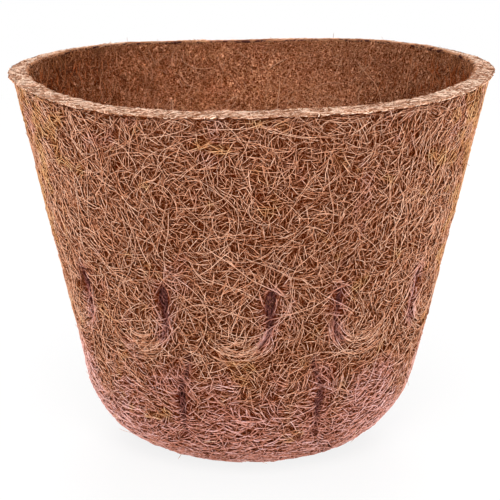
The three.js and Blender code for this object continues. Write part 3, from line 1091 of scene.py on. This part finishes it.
def strand_material(name, stops, gap, crushed_shaded=None, flank=1.0, tint=False, lining=False):
    """A fibre: each strand has its own tone, patchy along its length, with painted shade on its flanks down
    in the felt.
    """
    nodes = Finish(name, 0.7, shine=0.03)
    tone = nodes.value("tone")
    along = (nodes.noise(PATCHY_SCALE), LINING_PATCHY if lining else PATCHY)
    between = (nodes.noise(CLUMP_SCALE, detail=2.0), CLUMPED)
    for patches, amount in (along, between):
        tone = nodes.maths("ADD", tone, nodes.times(nodes.maths("SUBTRACT", patches, 0.5), amount))
    # Painted shade: the strand's flanks are mixed towards the gap colour
    side = nodes.stretch(nodes.value("flank"), 0.15, 0.55, 0.0, flank)
    if tint:
        # Painted light: a lighter tone low on the sides, standing in for light bounced from the floor
        blush = nodes.value("blush")
        painted_bounce_light = nodes.times(blush, nodes.stretch(nodes.sideways(), *BOUNCE_LIT_SIDES, 0.0, 0.2))
        painted_bounce_light = nodes.times(painted_bounce_light, nodes.stretch(nodes.along("Z"), *BOUNCE_LIT_HEIGHTS, 1.0, 0.0))
        tone = nodes.maths("ADD", tone, painted_bounce_light)
        shade = tinted(nodes, tone, stops)
        # Less painted shade on the flanks where the felt blushes, low down
        side = nodes.times(side, nodes.stretch(blush, 0.0, 1.0, 1.0, 0.6))
    else:
        shade = nodes.ramp(tone, stops)
    # Painted shade: the lining darkens and reddens towards its left and right, standing in for the shade on
    # the inner wall's sides
    if lining:
        painted_shade_share = nodes.stretch(nodes.sideways(), *PAINTED_SHADE_SIDES)
        shade = nodes.mixed(painted_shade_share, shade, nodes.ramp(tone, tint_of(stops, PAINTED_SIDE_SHADE)))
    # Outer strands: pressed felt and painted shade, darker in the marks; on the rim and lining, the inner
    # side's tone
    if crushed_shaded:
        shade = nodes.mixed(nodes.times(nodes.value("crush"), 0.85), shade, crushed_shaded)
    return nodes.coloured(nodes.mixed(side, shade, gap))


# Operators

def settings():
    return bpy.context.scene.coir_pot


def pot_form():
    return PotForm(settings().felt)


def pressed_pot():
    """The pot's form and its pressed outer face."""
    form = pot_form()
    return form, PressedFace(form, settings().marks, settings().felt)


class COIR_OT_outer_felt(Operator):
    """Skins of the outer wall ply and the outer base ply, with slots, slits, folds and creases"""
    bl_idname = "coir.outer_felt"
    bl_label = "Outer felt"

    def execute(self, context):
        form, face = pressed_pot()
        felt = settings().felt
        cell = felt.cell
        around = int(TAU * form.rim_radius / cell)
        behind = flat(-form.outer_ply)

        def pressed(turn, run):
            return face.at(turn, np.full(np.shape(turn), run))[0] - felt.sunk

        def pressed_off_floor(turn, run):
            return (pressed(turn, run) + felt.sunk) * form.off_floor(run) - felt.sunk

        runs = runs_to(form.outer_joint, form.top_run, cell)
        back = np.linspace(form.outer_joint, form.top_run, 10)
        wall = felt_shell("outer_wall_skin", form, around, (runs, pressed), (back, behind))
        wall = cut_openings(wall, opening_cutters(form, face))
        edge = form.outer_joint - felt.bond
        outside = (runs_to(FAN_RADIUS, edge, 1.3 * cell), pressed_off_floor)
        inside = (runs_to(FAN_RADIUS, edge, 5 * cell), behind)
        base = felt_shell("outer_base_skin", form, around * 2 // 3, outside, inside, dish=True)
        material = felt_material("outer_felt", shades(gap=0.15, bark=0.6, husk=1.0), tint=True)
        for mesh in (wall, base):
            mark_crush_shade(mesh, form, face)
        add_piece("outer_wall_skin", wall, material, "outer_wall_felt", "outer_wall_felt")
        add_piece("outer_base_skin", base, material, "outer_base_felt", "outer_base_felt")
        return {"FINISHED"}


LINING_CELL = 9 * MM
LINING_LUMP = 0.35 * MM
LINING_BOND = 0.4 * MM  # between the skins of the inner plies


class COIR_OT_inner_felt(Operator):
    """Skins of the inner wall ply and the inner base ply"""
    bl_idname = "coir.inner_felt"
    bl_label = "Inner felt"

    def execute(self, context):
        form, face = pressed_pot()
        cell = 1.5 * settings().felt.cell
        around = int(TAU * form.top_radius / cell)
        lumps = Lumps(21, form, LINING_CELL)
        behind = flat(-form.inner_depth)

        def lumpy(turn, run):
            return -form.depth + LINING_LUMP * lumps.at(turn, np.full(np.shape(turn), run))

        runs = runs_to(form.inner_joint, form.top_run, cell)
        back = np.linspace(form.inner_joint, form.top_run, 12)
        wall = felt_shell("inner_wall_skin", form, around, (back, behind), (runs, lumpy))
        wall = cut_openings(wall, opening_cutters(form, face))
        edge = form.inner_joint - LINING_BOND
        outside = (runs_to(FAN_RADIUS, edge, 3 * cell), behind)
        inside = (runs_to(FAN_RADIUS, edge, cell), lumpy)
        base = felt_shell("inner_base_skin", form, around // 2, outside, inside, dish=True)
        material = felt_material("inner_felt", shades(lining_gap=0.15, lining=0.6, lining_pale=1.0))
        for mesh in (wall, base):
            add_values(mesh, "crush", np.zeros(len(mesh.vertices)))
        add_piece("inner_wall_skin", wall, material, "inner_wall_felt", "inner_wall_felt")
        add_piece("inner_base_skin", base, material, "inner_base_felt", "inner_base_felt")
        return {"FINISHED"}


# The rim band's lumps: how wide and how high
RIM_WIDE = (8 * MM, 0.3 * MM)
RIM_FINE = (2.6 * MM, 0.16 * MM)

# Shares of the band's girth: where its dark lining starts, is full, fades and is gone, how much further up it
# starts at the back, and where the strands start and end
LINING_GIRTH = (0.42, 0.48, 0.83, 0.93)
LINING_BACK = 0.13
STRANDS_START = (-0.14, 0.62)
STRANDS_END = (-0.2, 0.68)


class RimForm:
    """The rim band's rounded section, as a map from turn, girth and lift to a place."""

    def __init__(self, form):
        self.form = form
        inner = form.top_radius - form.depth / math.cos(form.lean)
        self.centre = (inner + form.rim_radius) / 2
        self.half_width = (form.rim_radius - inner) / 2
        self.middle = (form.rim_low + form.height) / 2
        self.half_height = (form.height - form.rim_low) / 2
        self.spins = np.linspace(0, TAU, 721)
        steps = np.hypot(*np.diff(self.outline(self.spins), axis=0).T)
        self.girths = np.concatenate([[0], np.cumsum(steps)])
        self.girth = self.girths[-1]
        self.wide = Lumps(41, form, RIM_WIDE[0])
        self.fine = Lumps(42, form, RIM_FINE[0])

    def outline(self, spin):
        """Radius and height round the section: a rounded oblong that falls outwards."""
        c, s = np.cos(spin), np.sin(spin)
        size = (np.abs(c) ** 3 + np.abs(s) ** 3) ** (-1 / 3)
        across = c * size
        up = s * size
        fall = RIM_FALL / 2 * (1 + across) * np.maximum(up, 0)
        return np.stack([self.centre + self.half_width * across,
                         self.middle + self.half_height * up - fall], axis=-1)

    def spin_at(self, girth):
        return np.interp(girth % self.girth, self.girths, self.spins)

    def facing(self, girth):
        """The way out of the section, as parts along the radius and the height."""
        spin = self.spin_at(girth)
        ahead = self.outline(spin + 0.01) - self.outline(spin - 0.01)
        return unit(np.stack([ahead[..., 1], -ahead[..., 0]], axis=-1))

    def place(self, turn, girth, lift):
        """Points on the band, where girth is counted from its outer edge, up and over to the inside."""
        lump = RIM_WIDE[1] * self.wide.at(turn, girth) + RIM_FINE[1] * self.fine.at(turn, girth)
        here = self.outline(self.spin_at(girth)) + (lift + lump)[..., None] * self.facing(girth)
        out, up = self.form.sway(turn, np.full(np.shape(turn), self.form.top_run))
        return round_axis(turn, here[..., 0] + out, here[..., 1] + up)

    def outward(self, turn, girth):
        facing = self.facing(girth)
        return round_axis(turn, facing[..., 0], facing[..., 1])

    def lining_share(self, turn, girth):
        """How far the band has the darker tone of the inner face, from 0 on top to 1 on its inner side.
        The dark tone reaches further up at the back, where the band's edge is rubbed."""
        share_round = girth / self.girth % 1 + LINING_BACK * smoothstep(-0.5, 0.9, -np.cos(turn))
        return window(share_round, *LINING_GIRTH)


class COIR_OT_rim(Operator):
    """The pale rim band and the fine strands matted over it"""
    bl_idname = "coir.rim"
    bl_label = "Rim"

    def skin(self, rim, around=720, rings=26):
        turn = np.tile(np.arange(around) * TAU / around, rings)
        girth = np.repeat(rim.girth * np.arange(rings) / rings, around)
        points = rim.place(turn, girth, 0.0)
        mesh = turned_out(mesh_of("rim_skin", points, ring_quads(rings, around, True)))
        add_values(mesh, "crush", rim.lining_share(turn, girth))
        material = felt_material("rim_felt", shades(rim_gap=0.15, rim=0.6, rim_pale=1.0))
        add_piece("rim_skin", mesh, material, "rim_band", "rim_band")

    def strands(self, rim, number, radius, steps=6):
        rng = np.random.default_rng(51)
        each = (number, 1)
        turn = rng.uniform(-math.pi, math.pi, each)
        girth = rng.uniform(*STRANDS_START, each) * rim.girth
        heading = rng.normal(0.3, 0.9, each) + math.pi * rng.integers(0, 2, each)
        reach = np.minimum(rng.gamma(4, 0.95 * MM, each), 10 * MM)
        bend = rng.normal(0, 90, each) * reach
        swing = heading + bend * (np.linspace(0, 1, steps) - 0.5)
        step = reach / (steps - 1)
        turns = turn + np.cumsum(np.cos(swing) * step, axis=1) / rim.form.rim_radius
        girths = girth + np.cumsum(np.sin(swing) * step, axis=1)
        girths = np.clip(girths, *shares_of(rim.girth, STRANDS_END))
        lift = Weave(-0.1 * MM, 0.12 * MM, 0.05 * MM, 0.1 * MM).lift(rng, turns.shape)
        tone = np.repeat(rng.uniform(-0.1, 1.1, each), steps, axis=1)
        colours = settings().colours
        stops = shades(rim_gap=0.05, rim=0.4, rim_pale=0.95)
        material = strand_material("rim_fibre", stops, colours.rim_gap, crushed_shaded=colours.rim_inside)
        values = {"tone": tone, "crush": rim.lining_share(turns, girths)}
        add_strands("rim_strands", rim.place(turns, girths, lift), rim.outward(turns, girths),
                    thinned(turns.shape, radius, rng), values, material, "rim_band")

    def execute(self, context):
        rim = RimForm(pot_form())
        sizes = settings().fibres
        self.skin(rim)
        self.strands(rim, sizes.rim_count, sizes.rim_radius)
        return {"FINISHED"}


def outer_strand_material():
    colours = settings().colours
    stops = shades(bark=0.0, husk=0.32, straw=0.68, cream=1.0)
    return strand_material("outer_fibre", stops, colours.gap, crushed_shaded=colours.pressed, tint=True)


GROUND_GAP = 0.35 * MM  # keeps the middles of the strands off the ground
HAIR_GAP = 0.3 * MM


def place_outer_strands(name, form, face, rng, paths, weave, tones, radius, material):
    """Lays strands over the pressed outer face."""
    shape = paths.turn.shape
    height, crush, blush = face.at(paths.turn, paths.run)
    lift = (height + weave.lift(rng, shape)) * form.off_floor(paths.run)
    points = grounded(form.place(paths.turn, paths.run, lift), GROUND_GAP)
    values = {"tone": own_tones(rng, shape, *tones), "crush": crush, "blush": blush}
    add_strands(name, points, form.outward(paths.turn, paths.run), thinned(shape, radius, rng), values,
                material, "outer_wall_felt")


class COIR_OT_outer_strands(Operator):
    """The coarse strands of the outer face, in four layers from the dark deep ones to the long pale ones"""
    bl_idname = "coir.outer_strands"
    bl_label = "Outer strands"

    def execute(self, context):
        form, face = pressed_pot()
        sizes = settings().fibres
        material = outer_strand_material()
        radius = sizes.outer_radius
        above_joint = form.outer_joint + 24 * MM
        patchy = {"flow": 0.7, "spread": 0.4, "patch": 8 * MM, "flow_seed": 16}
        layers = (
            ("under_strands", 61, Growth(sizes.under_count, 5, 7.5 * MM, 50, 60), 3 * MM,
             Weave(-0.65 * MM, -0.45 * MM, 0.06 * MM, 0.1 * MM), (-0.1, 0.2), radius),
            ("middle_strands", 62, Growth(sizes.middle_count, 5, 6 * MM, 50, 60, **patchy), 3 * MM,
             Weave(-0.42 * MM, -0.2 * MM, 0.06 * MM, 0.2 * MM), (0.1, 0.42), radius),
            ("top_strands", 63, Growth(sizes.top_count, 5, 5.8 * MM, 50, 50, **patchy), 3 * MM,
             Weave(-0.1 * MM, 0.1 * MM, 0.06 * MM, 0.25 * MM), (0.2, 0.66), radius),
            ("long_strands", 64, Growth(sizes.long_count, 24, 30 * MM, 42, 32, 0.5), above_joint,
             Weave(0.05 * MM, 0.2 * MM, 0.1 * MM, 0.4 * MM), (0.36, 0.68), 0.88 * radius),
        )
        for name, seed, growth, low_run, weave, tones, thickness in layers:
            rng = np.random.default_rng(seed)
            paths = grown(form, rng, growth, low_run, face)
            paths.trim(form, face, rng, (-1.6, 0.5), (-0.35, 0.45))
            place_outer_strands(name, form, face, rng, paths, weave, tones, thickness, material)
        return {"FINISHED"}


# Strands round the tongues: turns where they start, their longest length, and their least, likeliest and
# greatest distance from the tongue's middle as shares of its radius
FOLD_STARTS = (0.0, 1.9)
FOLD_LONGEST = 16 * MM
FOLD_DISTANCES = (0.4, 1.05, 1.3)

# Strands in the slots, in millimetres: how long they are, and how deep they lie
STUFFED_LENGTHS = (1.5, 5.0)
STUFFED_DEPTHS = (0.7, 3.4)


class COIR_OT_fold_strands(Operator):
    """Strands that sweep round each fold, and dark ones in each slot, coloured with painted shade"""
    bl_idname = "coir.fold_strands"
    bl_label = "Fold and slot strands"

    def swept(self, form, face, rng, number, steps=10):
        """Strands that run round the tongues, mostly over the ridge outside each fold."""
        tongue = face.sizes.tongue
        each = (number, 1)
        t = np.linspace(0, 1, steps)[None]
        placed = []
        for mark in face.slots:
            start = rng.uniform(*FOLD_STARTS, each)
            size = np.minimum(rng.gamma(4, 2.2 * MM, each), FOLD_LONGEST)
            radius = tongue * rng.triangular(*FOLD_DISTANCES, each)
            radius = radius + rng.normal(0, 1.6, each) * MM * (t - 0.5)
            swept = start + size / radius * t
            placed.append(mark.placed(form, tongue - radius * np.cos(swept), -radius * np.sin(swept)))
        return Paths(*zip(*placed), axis=0)

    def stuffed(self, form, face, rng, number, steps=6):
        """Short strands that lie mostly upright inside each slot, under the face."""
        largest = max(mark.width * mark.length for mark in face.marks)
        t = np.linspace(-0.5, 0.5, steps)[None]
        placed = []
        for mark in face.marks:
            each = (round(number * mark.width * mark.length / largest), 1)
            up = rng.uniform(0.03, 0.97, each) * mark.length
            across = rng.uniform(-1, 1, each) * (mark.half_width(up) + 0.2 * MM)
            heading = rng.normal(0, 0.45, each) + rng.normal(0, 0.5, each) * t
            size = rng.uniform(*STUFFED_LENGTHS, each) * MM
            along = np.clip(up + np.cos(heading) * size * t, 0, mark.length)
            placed.append(mark.placed(form, across + np.sin(heading) * size * t, along))
        return Paths(*zip(*placed), axis=0)

    def execute(self, context):
        form, face = pressed_pot()
        sizes = settings().fibres
        radius = 0.85 * sizes.outer_radius
        rng = np.random.default_rng(65)
        paths = self.swept(form, face, rng, sizes.fold_count)
        paths.cut_short(face.opened(paths.turn, paths.run, -0.3 * MM))
        weave = Weave(0.0, 0.22 * MM, 0.08 * MM, 0.35 * MM)
        place_outer_strands("fold_strands", form, face, rng, paths, weave, (0.2, 0.8), radius,
                            outer_strand_material())

        paths = self.stuffed(form, face, rng, sizes.slot_count)
        shape = paths.turn.shape
        depth = rng.uniform(*STUFFED_DEPTHS, (shape[0], 1)) * MM
        points = form.place(paths.turn, paths.run, -depth + rng.normal(0, 0.15, shape) * MM)
        # Painted shade: the slot strands run from the dark shade colour to the pink of the slot's edge
        stops = shades(shade=0.0, pressed=0.6, rose=1.0)
        material = strand_material("slot_fibre", stops, settings().colours.shade)
        values = {"tone": own_tones(rng, shape, -0.1, 0.95)}
        add_strands("slot_strands", points, form.outward(paths.turn, paths.run), thinned(shape, radius, rng),
                    values, material, "outer_wall_felt")
        return {"FINISHED"}


class COIR_OT_inner_strands(Operator):
    """The short fine strands of the inner face, and longer pale ones over them"""
    bl_idname = "coir.inner_strands"
    bl_label = "Inner strands"

    def execute(self, context):
        form, face = pressed_pot()
        colours = settings().colours
        sizes = settings().fibres
        stops = shades(lining_gap=0.0, lining=0.4, lining_pale=1.0)
        material = strand_material("inner_fibre", stops, colours.lining_gap, crushed_shaded=colours.rim_inside,
                                   lining=True)
        layers = (
            ("inner_strands", 71, Growth(sizes.inner_count, 5, 6.5 * MM, 60, 60, 0.3),
             Weave(-0.05 * MM, 0.3 * MM, 0.08 * MM, 0.2 * MM), (0.0, 0.9)),
            ("long_inner_strands", 72, Growth(sizes.inner_long_count, 12, 15 * MM, 35, 40, 0.3),
             Weave(0.4 * MM, 0.55 * MM, 0.08 * MM, 0.35 * MM), (0.6, 1.05)),
        )
        for name, seed, growth, weave, tones in layers:
            rng = np.random.default_rng(seed)
            paths = grown(form, rng, growth, 3 * MM)
            paths.trim(form, face, rng, (-1.5, 0.3), None)
            shape = paths.turn.shape
            points = form.place(paths.turn, paths.run, -form.depth - weave.lift(rng, shape))
            radii = thinned(shape, sizes.inner_radius, rng)
            near_rim = smoothstep(*NEAR_RIM, paths.run - form.top_run)
            values = {"tone": own_tones(rng, shape, *tones), "crush": near_rim}
            add_strands(name, points, -form.outward(paths.turn, paths.run), radii, values, material,
                        "inner_wall_felt")
        return {"FINISHED"}


# Hairs of the wall and the rim: how steeply they stand at most, and how long they are on average
WALL_HAIRS = (0.6, 2.6 * MM)
RIM_HAIRS = (0.7, 2.4 * MM)


class COIR_OT_loose_hairs(Operator):
    """Loose ends that stand a little off the outer face and the rim"""
    bl_idname = "coir.loose_hairs"
    bl_label = "Loose hairs"

    def hairs(self, rng, roots, out, highest, mean_length, steps=7):
        """Points of hairs that leave their roots at a slant and bend over."""
        each = (len(roots), 1, 1)
        size = np.minimum(rng.gamma(3, mean_length / 3, each), 2.5 * mean_length)
        t = np.linspace(0, 1, steps)[None, :, None]
        lean = rng.normal(0, 1, roots.shape)
        lean = unit(lean - (lean * out).sum(axis=1, keepdims=True) * out)
        stand = rng.uniform(0.1, highest, each)
        sag = rng.uniform(-0.2, 1.0, each) * stand
        path = out[:, None] * (stand * t - sag * t ** 2) * size + lean[:, None] * t * size
        return roots[:, None] - out[:, None] * 0.2 * MM + path

    def finish(self, rng, name, points, out, slot):
        """Adds the hairs, each of one tone."""
        number, steps, _ = points.shape
        colours = settings().colours
        stops = shades(husk=0.0, straw=0.5, cream=1.0)
        material = strand_material("loose_fibre", stops, colours.husk, flank=0.5)
        tone = np.repeat(rng.uniform(0.2, 1, (number, 1)), steps, axis=1)
        radii = thinned((number, steps), settings().fibres.hair_radius, rng, 0.2)
        normals = np.repeat(out[:, None], steps, axis=1) + OFF_STRAIGHT
        add_strands(name, points, normals, radii, {"tone": tone}, material, slot)

    def execute(self, context):
        form, face = pressed_pot()
        rim = RimForm(form)
        sizes = settings().fibres
        rng = np.random.default_rng(81)
        run = even_runs(form, form.floor_run + 14 * MM, form.top_run, rng.uniform(0, 1, sizes.hair_count))
        turn = rng.uniform(-math.pi, math.pi, sizes.hair_count)
        free = ~face.opened(turn, run, 1 * MM)
        turn, run = turn[free], run[free]
        out = form.outward(turn, run)
        points = self.hairs(rng, form.place(turn, run, face.at(turn, run)[0]), out, *WALL_HAIRS)
        self.finish(rng, "wall_hairs", grounded(points, HAIR_GAP), out, "outer_wall_felt")

        turn = rng.uniform(-math.pi, math.pi, sizes.rim_hair_count)
        girth = rng.uniform(-0.05, 0.55, sizes.rim_hair_count) * rim.girth
        out = rim.outward(turn, girth)
        points = self.hairs(rng, rim.place(turn, girth, 0.0), out, *RIM_HAIRS)
        self.finish(rng, "rim_hairs", points, out, "rim_band")
        return {"FINISHED"}


# The fade of the floor into white: its start and end from the pot's axis, and how much it has at its start
FADE_START = 0.12
FADE_END = 0.9
FADE_LEAST = 0.84
FLOOR_TONE = 0.9
SENSOR_WIDTH = 36  # millimetres
NARROW_SPREAD = math.radians(11)

# Where the stage's lamps stand, how wide and high they are, and the setting that holds their power
LAMPS = {
    "left": ((-1.0, -0.65, 0.1), (0.9, 0.16)),
    "right": ((1.0, -0.65, 0.1), (0.9, 0.16)),
    "front": ((0.0, -0.95, 0.9), (0.6, 0.6)),
    "back": ((0.1, 1.8, 0.6), (1.2, 0.5)),
    "above": ((0.0, -0.1, 1.2), (0.6, 0.6)),
    "inside": ((0.0, -0.5, 0.75), (0.05, 0.05)),
}
POT_MIDDLE = (0, 0, 0.08)
FAR_INNER_WALL = (0.0, 0.09, 0.13)


class COIR_OT_stage(Operator):
    """Pale floor, soft studio light and the camera"""
    bl_idname = "coir.stage"
    bl_label = "Stage"

    def backdrop(self, nodes, lit, seen, amount):
        """Shows one shader to the camera, also in gloss and through glass, and lights with the other."""
        path = nodes.add("ShaderNodeLightPath")
        share_seen = path.outputs["Is Camera Ray"]
        for ray in ("Is Glossy Ray", "Is Transmission Ray"):
            share_seen = nodes.maths("MAXIMUM", share_seen, path.outputs[ray])
        mix = nodes.add("ShaderNodeMixShader")
        nodes.join(nodes.times(share_seen, amount), mix.inputs[0])
        nodes.join(lit.outputs[0], mix.inputs[1])
        nodes.join(seen.outputs[0], mix.inputs[2])
        return mix.outputs[0]

    def floor(self, size=4.0):
        mesh = bpy.data.meshes.new("floor")
        corners = [(x * size, y * size, 0) for x, y in ((-1, -1), (1, -1), (1, 1), (-1, 1))]
        mesh.from_pydata(corners, [], [(0, 1, 2, 3)])
        floor = bpy.data.objects.new("floor", mesh)
        bpy.context.scene.collection.objects.link(floor)
        nodes = Finish("pale_floor", 0.9, shine=0.0)
        nodes.shader.inputs["Base Color"].default_value = (FLOOR_TONE, FLOOR_TONE, FLOOR_TONE, 1)
        place = nodes.add("ShaderNodeNewGeometry").outputs["Position"]
        reach = nodes.fed(place, "ShaderNodeVectorMath", 0, operation="LENGTH").outputs["Value"]
        fade = nodes.stretch(reach, FADE_START, FADE_END, FADE_LEAST, 1.0, interpolation_type="SMOOTHSTEP")
        shown = self.backdrop(nodes, nodes.shader, nodes.add("ShaderNodeEmission", Color=WHITE), fade)
        nodes.join(shown, nodes.tree.nodes["Material Output"].inputs["Surface"])
        mesh.materials.append(nodes.material)

    def world(self, strength):
        world = bpy.data.worlds.new("studio")
        bpy.context.scene.world = world
        world.use_nodes = True
        nodes = Nodes(world.node_tree)
        light = nodes.tree.nodes["Background"]
        light.inputs["Color"].default_value = WHITE
        light.inputs["Strength"].default_value = strength
        seen = nodes.add("ShaderNodeBackground", Color=WHITE, Strength=1.0)
        shown = self.backdrop(nodes, light, seen, 1.0)
        nodes.join(shown, nodes.tree.nodes["World Output"].inputs["Surface"])

    def lamp(self, name, place, size, watts, aim=POT_MIDDLE, spread=math.pi):
        data = bpy.data.lights.new(name, "AREA")
        data.shape = "RECTANGLE"
        data.size, data.size_y = size
        data.spread = spread
        data.energy = watts
        lamp = bpy.data.objects.new(name, data)
        lamp.location = place
        lamp.visible_camera = False
        lamp.rotation_euler = (Vector(aim) - Vector(place)).to_track_quat("-Z", "Y").to_euler()
        bpy.context.scene.collection.objects.link(lamp)

    def camera(self, stage):
        data = bpy.data.cameras.new("camera")
        data.lens = stage.lens
        data.sensor_width = SENSOR_WIDTH
        data.clip_start = 0.01
        camera = bpy.data.objects.new("camera", data)
        back = Vector((0, -math.cos(stage.elevation), math.sin(stage.elevation)))
        camera.location = Vector((stage.aim_side, 0, stage.aim_height)) + back * stage.distance
        camera.rotation_euler = (-back).to_track_quat("-Z", "Y").to_euler()
        bpy.context.scene.collection.objects.link(camera)
        bpy.context.scene.camera = camera

    def execute(self, context):
        stage = settings().stage
        self.floor()
        self.world(stage.sky)
        for name, (place, size) in LAMPS.items():
            narrow = {"aim": FAR_INNER_WALL, "spread": NARROW_SPREAD} if name == "inside" else {}
            self.lamp(name + "_lamp", place, size, getattr(stage, name), **narrow)
        self.camera(stage)
        context.scene.view_settings.view_transform = "Standard"
        return {"FINISHED"}


class CoirPot(PropertyGroup):
    felt: PointerProperty(type=FeltSizes)
    marks: PointerProperty(type=MarkSizes)
    fibres: PointerProperty(type=FibreSizes)
    colours: PointerProperty(type=FibreColours)
    stage: PointerProperty(type=StageSizes)


OPERATORS = (
    COIR_OT_stage,
    COIR_OT_outer_felt,
    COIR_OT_inner_felt,
    COIR_OT_rim,
    COIR_OT_outer_strands,
    COIR_OT_fold_strands,
    COIR_OT_inner_strands,
    COIR_OT_loose_hairs,
)


class COIR_PT_pot(Panel):
    """Lists the pot's pieces and their sizes and colours"""
    bl_idname = "COIR_PT_pot"
    bl_label = "Coir pot"
    bl_space_type = "VIEW_3D"
    bl_region_type = "UI"
    bl_category = "Coir pot"

    def draw(self, context):
        for operator in OPERATORS:
            self.layout.operator(operator.bl_idname)
        pot = context.scene.coir_pot
        for group in (pot.felt, pot.marks, pot.fibres, pot.colours, pot.stage):
            box = self.layout.box()
            for name in group.__annotations__:
                box.prop(group, name)


CLASSES = (FeltSizes, MarkSizes, FibreSizes, FibreColours, StageSizes, CoirPot, *OPERATORS, COIR_PT_pot)


def register():
    for item in CLASSES:
        bpy.utils.register_class(item)
    bpy.types.Scene.coir_pot = PointerProperty(type=CoirPot)


def unregister():
    del bpy.types.Scene.coir_pot
    for item in reversed(CLASSES):
        bpy.utils.unregister_class(item)


def main():
    register()
    bpy.ops.coir.stage()
    bpy.ops.coir.outer_felt()
    bpy.ops.coir.inner_felt()
    bpy.ops.coir.rim()
    bpy.ops.coir.outer_strands()
    bpy.ops.coir.fold_strands()
    bpy.ops.coir.inner_strands()
    bpy.ops.coir.loose_hairs()


if __name__ == "__main__":
    main()
